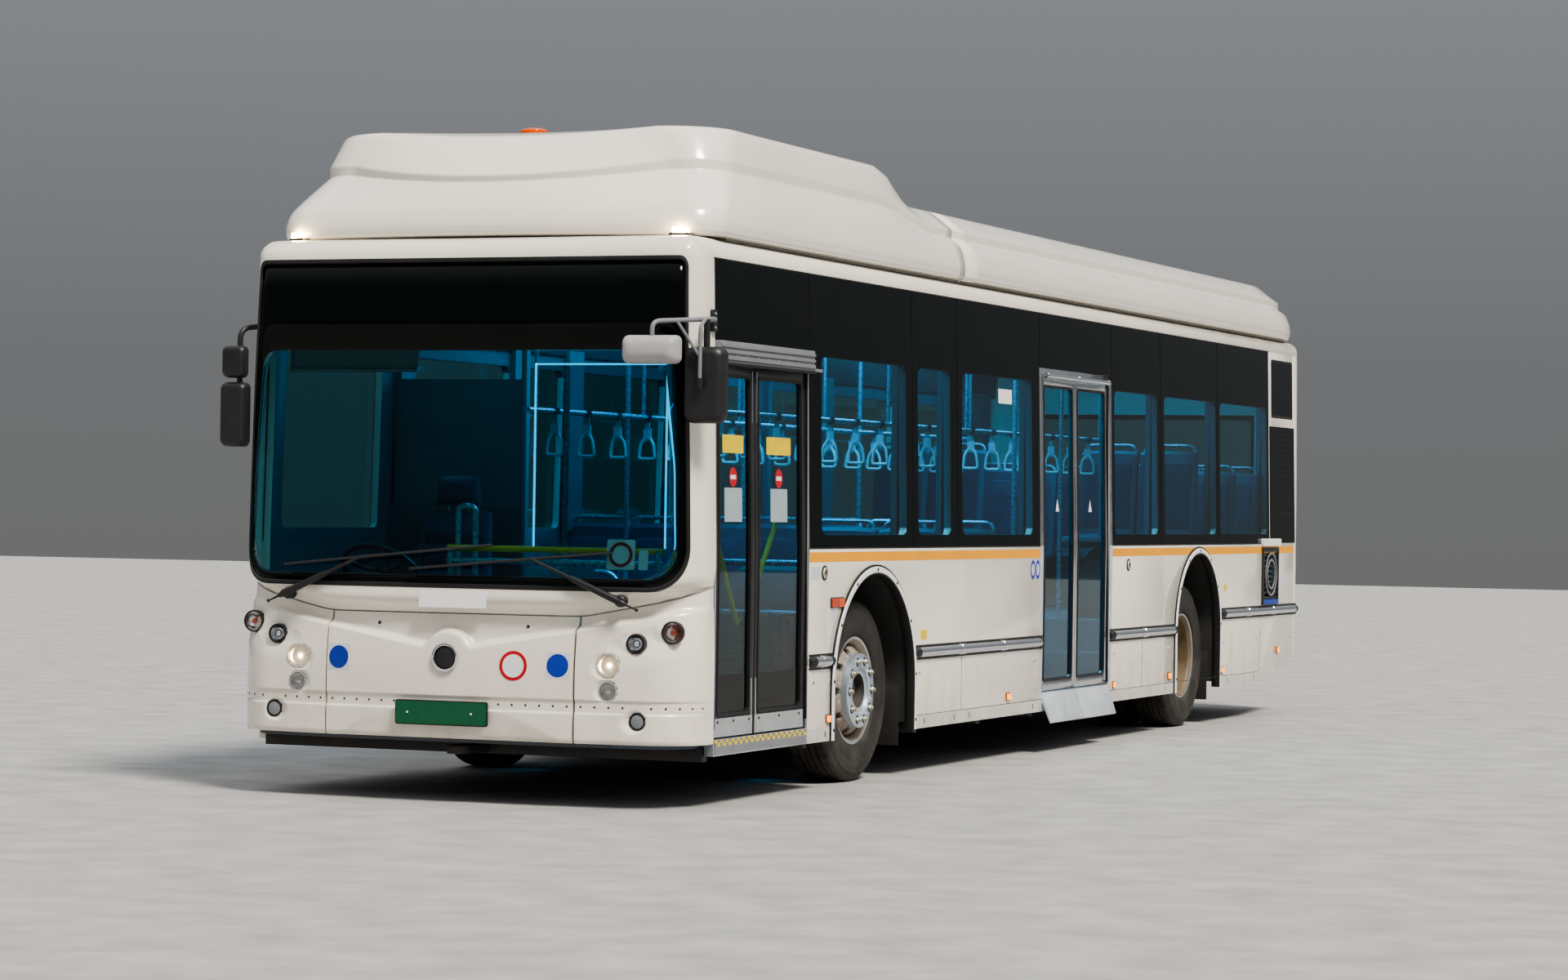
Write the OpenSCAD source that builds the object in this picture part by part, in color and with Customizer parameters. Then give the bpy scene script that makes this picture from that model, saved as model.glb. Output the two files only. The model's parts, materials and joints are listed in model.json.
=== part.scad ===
// Low-floor passenger bus for an airport apron or kerb, 12 m long, with two
// double doors on its left side. Lengths along the bus are stations, measured
// rearwards from the front corner of the body. Front is -Y, the doors are at +X.

/* [Body] */
// Length from the front mask to the rear wall
body_l = 12000; // [11800:100:12400]
// Width over the side panels
body_w = 2600; // [2580:10:2620]
// Height of the skirt's lower edge
skirt_z = 264; // [244:1:284]
// Height of the waist, where the side glass starts
waist_z = 1302; // [1290:1:1320]
// Height of the side glass's upper edge
band_z = 2762; // [2750:1:2775]
// Height of the body's roof
roof_z = 2869; // [2850:1:2880]
// Inward lean of the sides above the waist, in degrees
lean = 1.3; // [1:0.1:1.6]
// Side wall from skin to lining
wall_t = 50; // [40:1:55]
// Thickness of the bonded glass
glass_t = 8; // [6:1:10]
// How far the front mask stands ahead of the body's corner
nose = 325; // [300:5:340]
// Radius of the front in plan
front_r = 7500; // [6500:100:9000]
// Radius of the front corners in plan
corner_r = 280; // [250:5:300]
// Radius of the rear corners in plan
rear_r = 150; // [120:5:200]
// Radius between side and roof
roof_r = 90; // [80:5:100]
// How far the windscreen's top leans back
rake = 175; // [150:5:190]

/* [Wheels] */
// Station of the front axle
front_axle_s = 2330; // [2310:5:2350]
// Distance between the axles
wheelbase = 6480; // [6460:5:6500]
// Diameter of a tyre
tyre_d = 1012; // [1000:2:1020]
// Width of a tyre
tyre_w = 280; // [270:1:284]
// Diameter of the rim's bead seat
rim_d = 572; // [566:1:578]
// Inset of the tyre's outer face from the side panel
face_inset = 100; // [90:1:110]
// Distance between the middles of twin tyres
twin_pitch = 335; // [320:1:345]
// Pitch circle of the wheel studs
stud_pcd = 335; // [325:1:340]
// Distance of the steering axis from the middle of the bus
kingpin_x = 960; // [950:1:970]

/* [Arches] */
// Half width of a front arch
front_arch_w = 623; // [615:1:630]
// Height of a front arch
front_arch_z = 1164; // [1150:1:1180]
// Half width of a rear arch
rear_arch_w = 552; // [546:1:560]
// Height of a rear arch
rear_arch_z = 1241; // [1230:1:1255]
// Width of the metal trim around an arch
arch_trim = 45; // [35:1:55]

/* [Doors] */
// Where the front doorway starts
front_door_s = 88; // [84:1:92]
// Width of the front doorway
front_door_w = 1240; // [1230:1:1240]
// Height of the front doorway
front_door_z = 2238; // [2200:1:2250]
// Width of the narrow front leaf
narrow_leaf = 512; // [500:1:540]
// Where the middle doorway starts
mid_door_s = 5290; // [5285:1:5295]
// Width of the middle doorway
mid_door_w = 1390; // [1380:1:1396]
// Height of the middle doorway
mid_door_z = 2368; // [2340:1:2390]
// Thickness of a door leaf
leaf_t = 36; // [30:1:40]
// Width of a leaf's frame
leaf_frame = 46; // [40:1:55]
// Recess of a closed leaf behind the side panel
leaf_inset = 12; // [10:1:16]
// Gap around a door leaf
leaf_gap = 8; // [6:1:10]
// Gap between a leaf's hinged edge and its post
post_gap = 14; // [13:1:18]

/* [Windows] */
// Height of the clear glass's lower edge
clear_low = 1373; // [1360:1:1390]
// Height of the clear glass's upper edge
clear_high = 2330; // [2300:1:2400]
// Gap between two panes
pane_gap = 8; // [5:1:12]

/* [Roof pods] */
// Height of the high front pod
pod_high_z = 3485; // [3460:5:3500]
// Height of the low rear pod
pod_low_z = 3325; // [3300:5:3340]
// Half width of the pods
pod_w = 1264; // [1250:1:1266]
// Where the front pod ends
pod_split_s = 3850; // [3800:10:4300]
// Gap between two pods
pod_gap = 12; // [8:1:20]
// Thickness of the pods' skin
pod_t = 30; // [20:1:40]
// Diameter of the beacon's lens
beacon_d = 150; // [130:1:170]

/* [Interior] */
// Height of the low floor
floor_z = 345; // [338:1:350]
// Height of the rear floor
high_floor_z = 775; // [760:1:785]
// Thickness of the floor
floor_t = 40; // [30:1:45]
// Station of the first step up
step_s = 7350; // [7300:10:7400]
// Radius of a handrail
rail_r = 16; // [14:1:18]
// Width of a passenger seat
seat_w = 430; // [400:5:440]

/* [Underframe] */
// Distance of a frame rail from the middle
rail_x = 420; // [400:5:430]
// Width of a frame rail
rail_w = 80; // [70:1:90]
// Height of a frame rail
rail_h = 70; // [60:1:80]
// Radius of a towing pin's hole
tow_r = 21; // [18:1:24]

/* [Hidden] */
$fn = 64;
arc_steps = 5;
half_w = body_w / 2;
rear_s = body_l - nose;
mirror_reach = 560;
mid = (rear_s - mirror_reach) / 2;
rear_axle_s = front_axle_s + wheelbase;
mid_door_end_s = mid_door_s + mid_door_w;
door_post = 62;
front_post_end_s = 1340;
axle_z = tyre_d / 2;
wheel_x = half_w - face_inset - tyre_w / 2;
wheel_in_x = kingpin_x - 400;
pillar_s = 80;
mask_top_z = 961;
seam_rise = 0.2;
seam_rise_s = -265;
mask_low_z = 325;
mask_t = 70;
mask_seam = 6;
hatch_half = 700;
hatch_t = 30;
screen_low_z = 1085;
screen_half = 1254;
screen_ledge = 34;
screen_end_s = -32;
front_wall_t = 60;
rear_corner_s = rear_s - rear_r - 50;
overhang = rear_s - rear_axle_s;
kick_s = round(rear_axle_s + 0.5864 * overhang);
kick_z = 463;
post_s = round(rear_axle_s + 0.6796 * overhang);
vent_s = round(rear_axle_s + 0.6004 * overhang);
vent_l = 460;
vent_low_z = 840;
vent_high_z = 1270;
rear_member_s = round(rear_axle_s + 0.611 * overhang);
pin_r = 9;
pin_clear = 0.3;
sill_z = 345;
mid_sill_z = 382;
hinge_x = half_w - 42;
hinge_in = 30;
hatch_axis_s = -nose - 8;
hatch_axis_z = mask_top_z - mask_seam / 2;
knuckle_r = 7.5;
HATCH_HINGES = [-430, 430];
front_rail_h = 112;
mid_head_h = 52;
door_head = 20;
plate_seat = 0.1;
grab_x = 500;
grab_z = 2040;
pod_low_edge = 2900;
pod_front_s = -25;

// Side glass, columns: pane start, pane end, clear start, clear end
SHARED_PANES = [
  [front_post_end_s, 2925, 1517, 2827],
  [2925, 3685, 3015, 3571],
  [3685, 5228, 3771, 5081],
  [6742, 7872, 6800, 7800],
  [7872, 9316, 7961, 9271],
  [9316, post_s, 9380, post_s - 67]
];
RIGHT_PANES = [
  [pillar_s, front_post_end_s, 190, 1250],
  [5228, 6742, 5320, 6650]
];
// Front lamps, columns: x, station, height, lens radius
FRONT_LAMPS = [
  [1186, -184, 888, 50],
  [1013, -238, 829, 44],
  [874, -260, 719, 56],
  [876, -260, 591, 44],
  [1026, -234, 444, 38]
];
// Rub rails, columns: start, end, height
RUB_RAILS = [
  [front_post_end_s + 10, front_axle_s - 630, 695],
  [front_axle_s + 632, mid_door_s - 5, 700],
  [mid_door_end_s + 20, rear_axle_s - 565, 705],
  [rear_axle_s + 600, rear_s - 115, 794]
];
// Seat rows, columns: station of the cushion's front, height of what it stands on, middle of the pair
housing_seat_z = rear_arch_z - 335;
seat_pitch = 640;
last_row_s = rear_s - 915;
LOW_ROWS = [
  [3120, floor_z, 800],
  [4000, floor_z, 800],
  [3120, floor_z, -800],
  [4000, floor_z, -800],
  [4880, floor_z, -800],
  [5900, floor_z, -800],
  [rear_axle_s - 390, housing_seat_z, 800],
  [rear_axle_s - 390, housing_seat_z, -800]
];
SEAT_ROWS = concat(LOW_ROWS, [
  for (s = [rear_axle_s + 630 : seat_pitch : last_row_s - seat_pitch])
    for (x = [-800, 800]) [s, high_floor_z, x]
]);

// Outer face of the side at a height
function side_x(z) = half_w - max(0, z - waist_z) * tan(lean);
function unit(v) = v / norm(v);

// Points of one rounded corner q between its neighbours; rows are [x, y, radius]
function corner_points(p, q, n) =
  q[2] == 0 ? [[q[0], q[1]]] :
  let (
    o = [q[0], q[1]],
    a = unit([p[0], p[1]] - o),
    b = unit([n[0], n[1]] - o),
    half = acos(a * b) / 2,
    c = o + unit(a + b) * q[2] / sin(half),
    s = o + a * q[2] / tan(half) - c,
    e = o + b * q[2] / tan(half) - c,
    a0 = atan2(s[1], s[0]),
    turn = atan2(s[0] * e[1] - s[1] * e[0], s * e)
  )
  [for (i = [0 : arc_steps]) c + q[2] * [cos(a0 + turn * i / arc_steps), sin(a0 + turn * i / arc_steps)]];
function rounded(rows) =
  let (k = len(rows))
  [for (i = [0 : k - 1]) each corner_points(rows[(i + k - 1) % k], rows[i], rows[(i + 1) % k])];
function frame_rows(a0, a1, b0, b1, r) = [[a0, b0, r], [a1, b0, r], [a1, b1, r], [a0, b1, r]];
// Full-width outline from its right half, listed from bottom to top
function mirrored(rows) =
  concat(rows, [for (i = [len(rows) - 1 : -1 : 0]) [-rows[i][0], rows[i][1], rows[i][2]]]);

// Moves the stations so that the origin lies under the middle of the bus
module set() translate([0, -mid, 0]) children();
module both() {
  children();
  mirror([1, 0, 0]) children();
}
module along_y(y0, y1) translate([0, y1, 0]) rotate([90, 0, 0]) linear_extrude(y1 - y0) children();
module across_x(x0, x1) translate([x0, 0, 0]) rotate([90, 0, 90]) linear_extrude(x1 - x0) children();
module box(x0, x1, y0, y1, z0, z1) translate([x0, y0, z0]) cube([x1 - x0, y1 - y0, z1 - z0]);
module rod(a, b, r) {
  d = b - a;
  translate(a)
    rotate([0, acos(d[2] / norm(d)), atan2(d[1], d[0])])
      cylinder(h = norm(d), r = r, $fn = 24);
}

// Points of an arc about c with radius r, in n steps, without its first point
function arc(c, r, a0, a1, n) = [for (i = [1 : n]) c + r * [cos(a0 + (a1 - a0) * i / n), sin(a0 + (a1 - a0) * i / n)]];
// Outline from its right half, listed from front to rear or from bottom to top
function both_halves(half) = concat(half, [for (i = [len(half) - 1 : -1 : 0]) [-half[i][0], half[i][1]]]);

// Plan of the body, inset by t
module plan(t) {
  cx = half_w - corner_r;
  arc_y = front_r - nose;
  turn = asin(cx / (front_r - corner_r));
  cy = arc_y - (front_r - corner_r) * cos(turn);
  polygon(concat(
    [[0, t - nose]],
    both_halves(concat(
      arc([0, arc_y], front_r - t, -90, turn - 90, 8),
      arc([cx, cy], corner_r - t, turn - 90, 0, 12),
      [[half_w - t, rear_s - rear_r]],
      arc([half_w - rear_r, rear_s - rear_r], rear_r - t, 0, 90, 8)
    ))
  ));
}
// Cross-section of the body, inset by t
module section(t) {
  cz = roof_z - roof_r;
  cx = side_x(cz) - roof_r / cos(lean);
  low = t > 0 ? 0 : 200;
  polygon(both_halves(concat(
    [[half_w - t, low], [half_w - t, waist_z]],
    [[cx, cz] + (roof_r - t) * [cos(lean), sin(lean)]],
    arc([cx, cz], roof_r - t, lean, 90, 8)
  )));
}
// Side view of the body, inset by t
module side_view(t) {
  drop = t > 0 ? 200 : 0;
  polygon(rounded([
    [t - nose + 28, mask_low_z - drop, 0],
    [t - nose, 505, 0],
    [t - nose, mask_top_z - 10, 0],
    [t - nose + 18, screen_low_z, 0],
    [t - nose + rake, band_z, 0],
    [t - nose + rake + 20, roof_z - t, 45],
    [rear_s - t - 40, roof_z - t, 60],
    [rear_s - t, waist_z + 300, 0],
    [rear_s - t, kick_z - drop, 0],
    [kick_s, skirt_z - drop, 0],
    [pillar_s, skirt_z - drop, 0],
    [pillar_s, mask_low_z - 12 - drop, 0]
  ]));
}
module envelope(t) {
  intersection() {
    linear_extrude(roof_z + 10) plan(t);
    along_y(-nose - 10, rear_s + 10) section(t);
    across_x(-half_w - 10, half_w + 10) side_view(t);
  }
}
module shell(outer, inner) {
  difference() {
    envelope(outer);
    envelope(inner);
  }
}

// Arch outline: half circle on straights, seen from the side
module arch(s, w, top) {
  translate([s, top - w]) circle(w);
  translate([s - w, 0]) square([2 * w, top - w]);
}
module arch_hole(x0, x1, grow) {
  across_x(x0, x1) {
    arch(front_axle_s, front_arch_w + grow, front_arch_z + grow);
    arch(rear_axle_s, rear_arch_w + grow, rear_arch_z + grow);
  }
}

// Side panels
module wall_profile() {
  polygon([
    [half_w - wall_t, skirt_z], [half_w, skirt_z], [half_w, waist_z],
    [half_w - glass_t, waist_z], [side_x(band_z) - glass_t, band_z],
    [side_x(band_z) - wall_t, band_z], [half_w - wall_t, waist_z]
  ]);
}
module wall_piece(s0, s1, panes) {
  difference() {
    along_y(s0, s1) wall_profile();
    arch_hole(half_w - 2 * wall_t, half_w + wall_t, 0);
    for (p = panes)
      across_x(half_w - 3 * wall_t, half_w + wall_t)
        polygon(rounded(frame_rows(p[2], p[3], clear_low, clear_high, 40)));
    across_x(half_w - 2 * wall_t, half_w + wall_t)
      polygon([[kick_s, skirt_z - 1], [rear_s, skirt_z - 1], [rear_s, kick_z]]);
  }
}
module corner_infill() {
  difference() {
    intersection() {
      shell(0, wall_t);
      box(half_w - wall_t, half_w + 1, post_s + 1, rear_corner_s, waist_z, band_z);
    }
    box(half_w - glass_t - 12, half_w + 1, post_s + 100, rear_corner_s - 20, 2255, 2700);
    box(half_w - 2 * wall_t, half_w + 1, post_s + 100, rear_corner_s - 20, waist_z + 30, 2180);
  }
}
module left_wall() color("ivory") set() {
  wall_piece(front_post_end_s, mid_door_s - door_post, [for (i = [0 : 2]) SHARED_PANES[i]]);
  difference() {
    union() {
      wall_piece(mid_door_end_s + door_post, rear_corner_s, [for (i = [3 : 5]) SHARED_PANES[i]]);
      corner_infill();
    }
    vent_hole();
  }
}
module right_wall() color("ivory") set() mirror([1, 0, 0]) difference() {
  union() {
    wall_piece(pillar_s, rear_corner_s, concat(SHARED_PANES, RIGHT_PANES));
    corner_infill();
  }
  vent_hole();
}
module vent_hole() {
  box(half_w - 2 * wall_t, half_w + 1, vent_s + 22, vent_s + vent_l - 22, vent_low_z + 22, vent_high_z - 22);
}
module pane(s0, s1, z0) {
  along_y(s0 + pane_gap / 2, s1 - pane_gap / 2)
    polygon([
      [side_x(z0) - glass_t, z0], [side_x(z0), z0],
      [side_x(band_z), band_z], [side_x(band_z) - glass_t, band_z]
    ]);
}
module left_glass() color("darkslategray", 0.6) set() {
  for (p = SHARED_PANES) pane(p[0], p[1], waist_z);
  pane(pillar_s, front_post_end_s, front_door_z + front_rail_h);
  pane(mid_door_s - door_post, mid_door_end_s + door_post, mid_door_z + mid_head_h);
}
module right_glass() color("darkslategray", 0.6) set() mirror([1, 0, 0])
  for (p = concat(SHARED_PANES, RIGHT_PANES)) pane(p[0], p[1], waist_z);

module roof() color("ivory") set() intersection() {
  shell(0, wall_t);
  box(-half_w, half_w, pillar_s, rear_s + 1, band_z, roof_z + 1);
}

// Front
module screen_outline(grow) {
  h = screen_half + grow;
  polygon(rounded(mirrored([
    [h - 150, screen_low_z - grow, 0],
    [h - 8, screen_low_z + 110 - grow, 170],
    [h - 6, 1700, 0],
    [h - 40, band_z + grow, 60]
  ])));
}
// Region below the seam between mask and frame, lowered by drop; it rises towards the pillars
module below_seam(drop) {
  across_x(-half_w - 1, half_w + 1) polygon([
    [-nose - 2, -1], [pillar_s + 2, -1],
    [pillar_s + 2, mask_top_z - drop + seam_rise * (pillar_s + 2 - seam_rise_s)],
    [seam_rise_s, mask_top_z - drop], [-nose - 2, mask_top_z - drop]
  ]);
}
// Round part of a hinge on the front hatch's axis, with a web to the panel behind it
module front_knuckle(x, w, z0, z1) {
  translate([x, hatch_axis_s, hatch_axis_z]) rotate([0, 90, 0]) cylinder(h = w, r = knuckle_r, $fn = 32);
  box(x, x + w, hatch_axis_s, -nose + 32, z0, z1);
}
module front_frame() color("ivory") set() {
  difference() {
    intersection() {
      shell(0, front_wall_t);
      box(-half_w, half_w, -nose - 1, pillar_s, mask_top_z, roof_z + 1);
    }
    below_seam(0);
    along_y(-nose - 1, screen_end_s) screen_outline(-screen_ledge);
    intersection() {
      shell(-1, glass_t + 2);
      along_y(-nose - 2, screen_end_s) screen_outline(0);
    }
  }
  for (x = HATCH_HINGES) {
    front_knuckle(x - 42, 24, hatch_axis_z + 1, mask_top_z + 14);
    front_knuckle(x + 18, 24, hatch_axis_z + 1, mask_top_z + 14);
    translate([x - 20, hatch_axis_s, hatch_axis_z]) rotate([0, 90, 0]) cylinder(h = 40, r = knuckle_r - 4, $fn = 32);
  }
}
module windscreen() color("darkslategray", 0.6) set() intersection() {
  shell(1, glass_t + 2);
  along_y(-nose - 2, screen_end_s) screen_outline(-2);
}
// The dipping crease of the mask: each half is planed back above it
module crease_cut() {
  both()
    translate([0, -nose + 2, 842])
      rotate([0, -11, 0]) rotate([-7, 0, 0]) translate([0, -200, 0]) cube([1500, 200, 500]);
}
module mask_body(inner) {
  difference() {
    intersection() {
      shell(0, inner);
      box(-half_w, half_w, -nose - 1, pillar_s, 0, screen_low_z);
      below_seam(mask_seam);
    }
    crease_cut();
    box(-half_w - 1, half_w + 1, -nose - 1, -nose + 8, 494, 512);
  }
}
module scoop(p) {
  translate([p[0], p[1] - 8, p[2]])
    rotate([0, 0, -28]) rotate([90, 0, 0]) translate([0, 0, -22]) cylinder(h = 120, r = p[3] + 9);
}
module mask_corners() color("ivory") set() {
  difference() {
    mask_body(mask_t);
    box(-hatch_half - mask_seam, hatch_half + mask_seam, -nose - 1, pillar_s + 1, 0, screen_low_z);
    both()
      for (i = [0 : 4]) {
        p = FRONT_LAMPS[i];
        translate([p[0], p[1] + mask_t + 20, p[2]]) rotate([90, 0, 0]) cylinder(h = 200, r = p[3]);
        if (i < 4) scoop(p);
      }
  }
  hatch_seat();
}
// Flanges behind the hatch's edges, on which it rests
module hatch_seat() {
  intersection() {
    shell(hatch_t + pin_clear, hatch_t + 16);
    both() box(hatch_half - 40, hatch_half + mask_seam + 1, -nose, 0, 345, mask_top_z - 12);
  }
}
module front_hatch() color("ivory") set() {
  intersection() {
    mask_body(hatch_t);
    box(-hatch_half, hatch_half, -nose - 1, 0, 335, mask_top_z - mask_seam);
  }
  translate([0, -nose + 12, 735]) rotate([90, 0, 0]) cylinder(h = 16, r = 66);
  difference() {
    for (x = HATCH_HINGES) front_knuckle(x - 17, 34, hatch_axis_z - 34, hatch_axis_z - 1);
    for (x = HATCH_HINGES)
      translate([x - 18, hatch_axis_s, hatch_axis_z])
        rotate([0, 90, 0]) cylinder(h = 36, r = knuckle_r - 4 + pin_clear, $fn = 32);
  }
}

// Rear
module rear_wall() color("ivory") set() {
  difference() {
    intersection() {
      shell(0, wall_t);
      box(-half_w, half_w, rear_corner_s, rear_s + 1, 0, band_z);
    }
    box(-888, 888, rear_s - 2 * wall_t, rear_s + 1, 552, 1408);
    box(-930, 930, rear_s - 2 * wall_t, rear_s + 1, 1560, 2300);
    box(-970, 970, rear_s - glass_t - 6, rear_s + 1, 1520, 2340);
  }
  for (side = [-1, 1])
    translate([side * 560, rear_s + 14, 1420]) rotate([0, 90, 0]) {
      translate([0, 0, -60]) cylinder(h = 38, r = pin_r + 4);
      translate([0, 0, 22]) cylinder(h = 38, r = pin_r + 4);
      translate([0, 0, -60]) cylinder(h = 120, r = pin_r - 3);
    }
  for (side = [-1, 1])
    for (off = [-60, 22])
      box(side * 560 + off, side * 560 + off + 38, rear_s - 4, rear_s + 14, 1410, 1470);
}
module rear_hatch() color("ivory") set() difference() {
  union() {
    box(-880, 880, rear_s - 30, rear_s, 560, 1400);
    for (side = [-1, 1])
      for (i = [0 : 8])
        box(side * 450 - 320, side * 450 + 320, rear_s - 1, rear_s + 12, 660 + 52 * i, 684 + 52 * i);
    for (side = [-1, 1]) {
      box(side * 560 - 17, side * 560 + 17, rear_s - 4, rear_s + 12, 1350, 1398);
      box(side * 560 - 17, side * 560 + 17, rear_s + 1, rear_s + 12, 1397, 1420);
      translate([side * 560 - 17, rear_s + 14, 1420]) rotate([0, 90, 0]) cylinder(h = 34, r = pin_r + 4);
    }
  }
  for (side = [-1, 1])
    translate([side * 560 - 20, rear_s + 14, 1420])
      rotate([0, 90, 0]) cylinder(h = 40, r = pin_r - 3 + pin_clear);
}
module rear_window() color("darkslategray", 0.6) set()
  box(-968, 968, rear_s - glass_t - 6, rear_s - 6, 1522, 2338);

// Roof pods
module pod_front_shape(t) {
  w = pod_w - t;
  drop = t > 0 ? 60 : 0;
  intersection() {
    along_y(pod_front_s + t, pod_split_s - pod_gap / 2 - t)
      polygon(rounded(mirrored([
        [w - 24, pod_low_edge - drop, 0],
        [w, 2945, 25],
        [w - 8, 3050, 90],
        [w - 118, 3290, 60],
        [w - 250, 3440 - t, 120],
        [w - 420, pod_high_z - t, 200]
      ])));
    across_x(-half_w, half_w)
      polygon(rounded([
        [pod_front_s + 90 + t, pod_low_edge - drop, 0],
        [pod_front_s + 4 + t, 2935, 20],
        [pod_front_s + t, 2990, 60],
        [pod_front_s + 90 + t, 3170, 60],
        [pod_front_s + 330 + t, 3425 - t, 160],
        [1000, pod_high_z - t, 600],
        [3000, pod_high_z - t, 500],
        [pod_split_s + 100, pod_low_z - t, 300],
        [pod_split_s + 500, pod_low_z - t, 0],
        [pod_split_s + 500, pod_low_edge - drop, 0]
      ]));
    translate([0, nose + pod_front_s, 0]) linear_extrude(pod_high_z + 10) plan(t + 20);
  }
}
module pod_rear_shape(t) {
  w = pod_w - t;
  drop = t > 0 ? 60 : 0;
  intersection() {
    along_y(pod_split_s + pod_gap / 2 + t, rear_s - 90 - t)
      polygon(rounded(mirrored([
        [w - 24, pod_low_edge - drop, 0],
        [w, 2945, 25],
        [w - 4, 3020, 90],
        [w - 60, 3140, 150],
        [w - 230, pod_low_z - 12 - t, 120],
        [w - 420, pod_low_z - t, 100]
      ])));
    across_x(-half_w, half_w)
      polygon(rounded([
        [pod_split_s, pod_low_edge - drop, 0],
        [pod_split_s, pod_low_z - t + 1, 0],
        [rear_s - 330 - t, pod_low_z - t + 1, 200],
        [rear_s - 90 - t, 3090, 120],
        [rear_s - 110 - t, pod_low_edge - drop, 0]
      ]));
  }
}
module plinth(s0, s1) {
  difference() {
    box(-1170, 1170, s0, s1, roof_z, pod_low_edge + 30);
    box(-1140, 1140, s0 + 30, s1 - 30, roof_z - 1, pod_low_edge + 31);
  }
}
module pod_front() color("ivory") set() {
  difference() {
    pod_front_shape(0);
    pod_front_shape(pod_t);
  }
  intersection() {
    plinth(300, pod_split_s - 60);
    box(-half_w, half_w, 0, pod_split_s, roof_z, pod_low_edge + 30);
  }
  difference() {
    intersection() {
      pod_front_shape(0);
      box(-half_w, half_w, -nose, pod_split_s, pod_low_edge, pod_low_edge + 30);
    }
    box(-1140, 1140, 330, pod_split_s - 90, roof_z, pod_low_edge + 31);
  }
}
module pod_rear() color("ivory") set() {
  difference() {
    pod_rear_shape(0);
    pod_rear_shape(pod_t);
  }
  plinth(pod_split_s + 60, rear_s - 200);
  difference() {
    intersection() {
      pod_rear_shape(0);
      box(-half_w, half_w, pod_split_s, rear_s, pod_low_edge, pod_low_edge + 30);
    }
    box(-1140, 1140, pod_split_s + 90, rear_s - 230, roof_z, pod_low_edge + 31);
  }
}
module power_blocks() color("gray") set() {
  box(-900, 900, pod_split_s + 450, rear_s - 2375, roof_z, pod_low_z - 125);
  box(rail_w / 2 - rail_x, rail_x - rail_w / 2, rear_axle_s + 735, rear_member_s - 5,
    low_rail_z + 185, high_floor_z - floor_t - 20);
}

// Doors
module leaf_profile(z0, z1, depth, t) {
  polygon([
    [half_w - depth - t, z0], [half_w - depth, z0], [half_w - depth, waist_z],
    [side_x(z1) - depth, z1], [side_x(z1) - depth - t, z1], [half_w - depth - t, waist_z]
  ]);
}
module leaf_window(s0, s1, z0, z1) {
  polygon(rounded(frame_rows(s0 + leaf_frame, s1 - leaf_frame, z0, z1 - leaf_frame, 30)));
}
// A door leaf between two stations; hinge is the station of its pivot
module leaf(s0, s1, z0, z1, kick, hinge) {
  difference() {
    along_y(s0, s1) leaf_profile(z0, z1, leaf_inset, leaf_t);
    across_x(half_w - 2 * wall_t, half_w + 1) leaf_window(s0, s1, z0 + kick, z1);
  }
  translate([hinge_x, hinge, z0 - leaf_gap - 12]) cylinder(h = leaf_gap + 20, r = pin_r);
  translate([hinge_x, hinge, z1 - 8]) cylinder(h = leaf_gap + 20, r = pin_r);
}
module leaf_glass(s0, s1, z0, z1, kick) {
  intersection() {
    along_y(s0, s1) leaf_profile(z0, z1, leaf_inset + 12, glass_t);
    across_x(half_w - 2 * wall_t, half_w + 1) leaf_window(s0, s1, z0 + kick, z1);
  }
}
front_a = [front_door_s + post_gap, front_door_s + post_gap + narrow_leaf];
front_b = [front_a[1] + 10, front_door_s + front_door_w - post_gap];
mid_a = [mid_door_s + post_gap, mid_door_s + mid_door_w / 2 - 5];
mid_b = [mid_a[1] + 10, mid_door_s + mid_door_w - post_gap];
front_leaf_z = [sill_z + leaf_gap, front_door_z - leaf_gap];
mid_leaf_z = [mid_sill_z + leaf_gap, mid_door_z - leaf_gap];
front_kick = 110;
mid_kick = 60;
module door_front_a() color("dimgray") set()
  leaf(front_a[0], front_a[1], front_leaf_z[0], front_leaf_z[1], front_kick, front_a[0] + hinge_in);
module door_front_b() color("dimgray") set()
  leaf(front_b[0], front_b[1], front_leaf_z[0], front_leaf_z[1], front_kick, front_b[1] - hinge_in);
module door_mid_a() color("silver") set()
  leaf(mid_a[0], mid_a[1], mid_leaf_z[0], mid_leaf_z[1], mid_kick, mid_a[0] + hinge_in);
module door_mid_b() color("silver") set()
  leaf(mid_b[0], mid_b[1], mid_leaf_z[0], mid_leaf_z[1], mid_kick, mid_b[1] - hinge_in);
module door_front_a_glass() color("darkslategray", 0.6) set()
  leaf_glass(front_a[0], front_a[1], front_leaf_z[0], front_leaf_z[1], front_kick);
module door_front_b_glass() color("darkslategray", 0.6) set()
  leaf_glass(front_b[0], front_b[1], front_leaf_z[0], front_leaf_z[1], front_kick);
module door_mid_a_glass() color("darkslategray", 0.6) set()
  leaf_glass(mid_a[0], mid_a[1], mid_leaf_z[0], mid_leaf_z[1], mid_kick);
module door_mid_b_glass() color("darkslategray", 0.6) set()
  leaf_glass(mid_b[0], mid_b[1], mid_leaf_z[0], mid_leaf_z[1], mid_kick);
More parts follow.
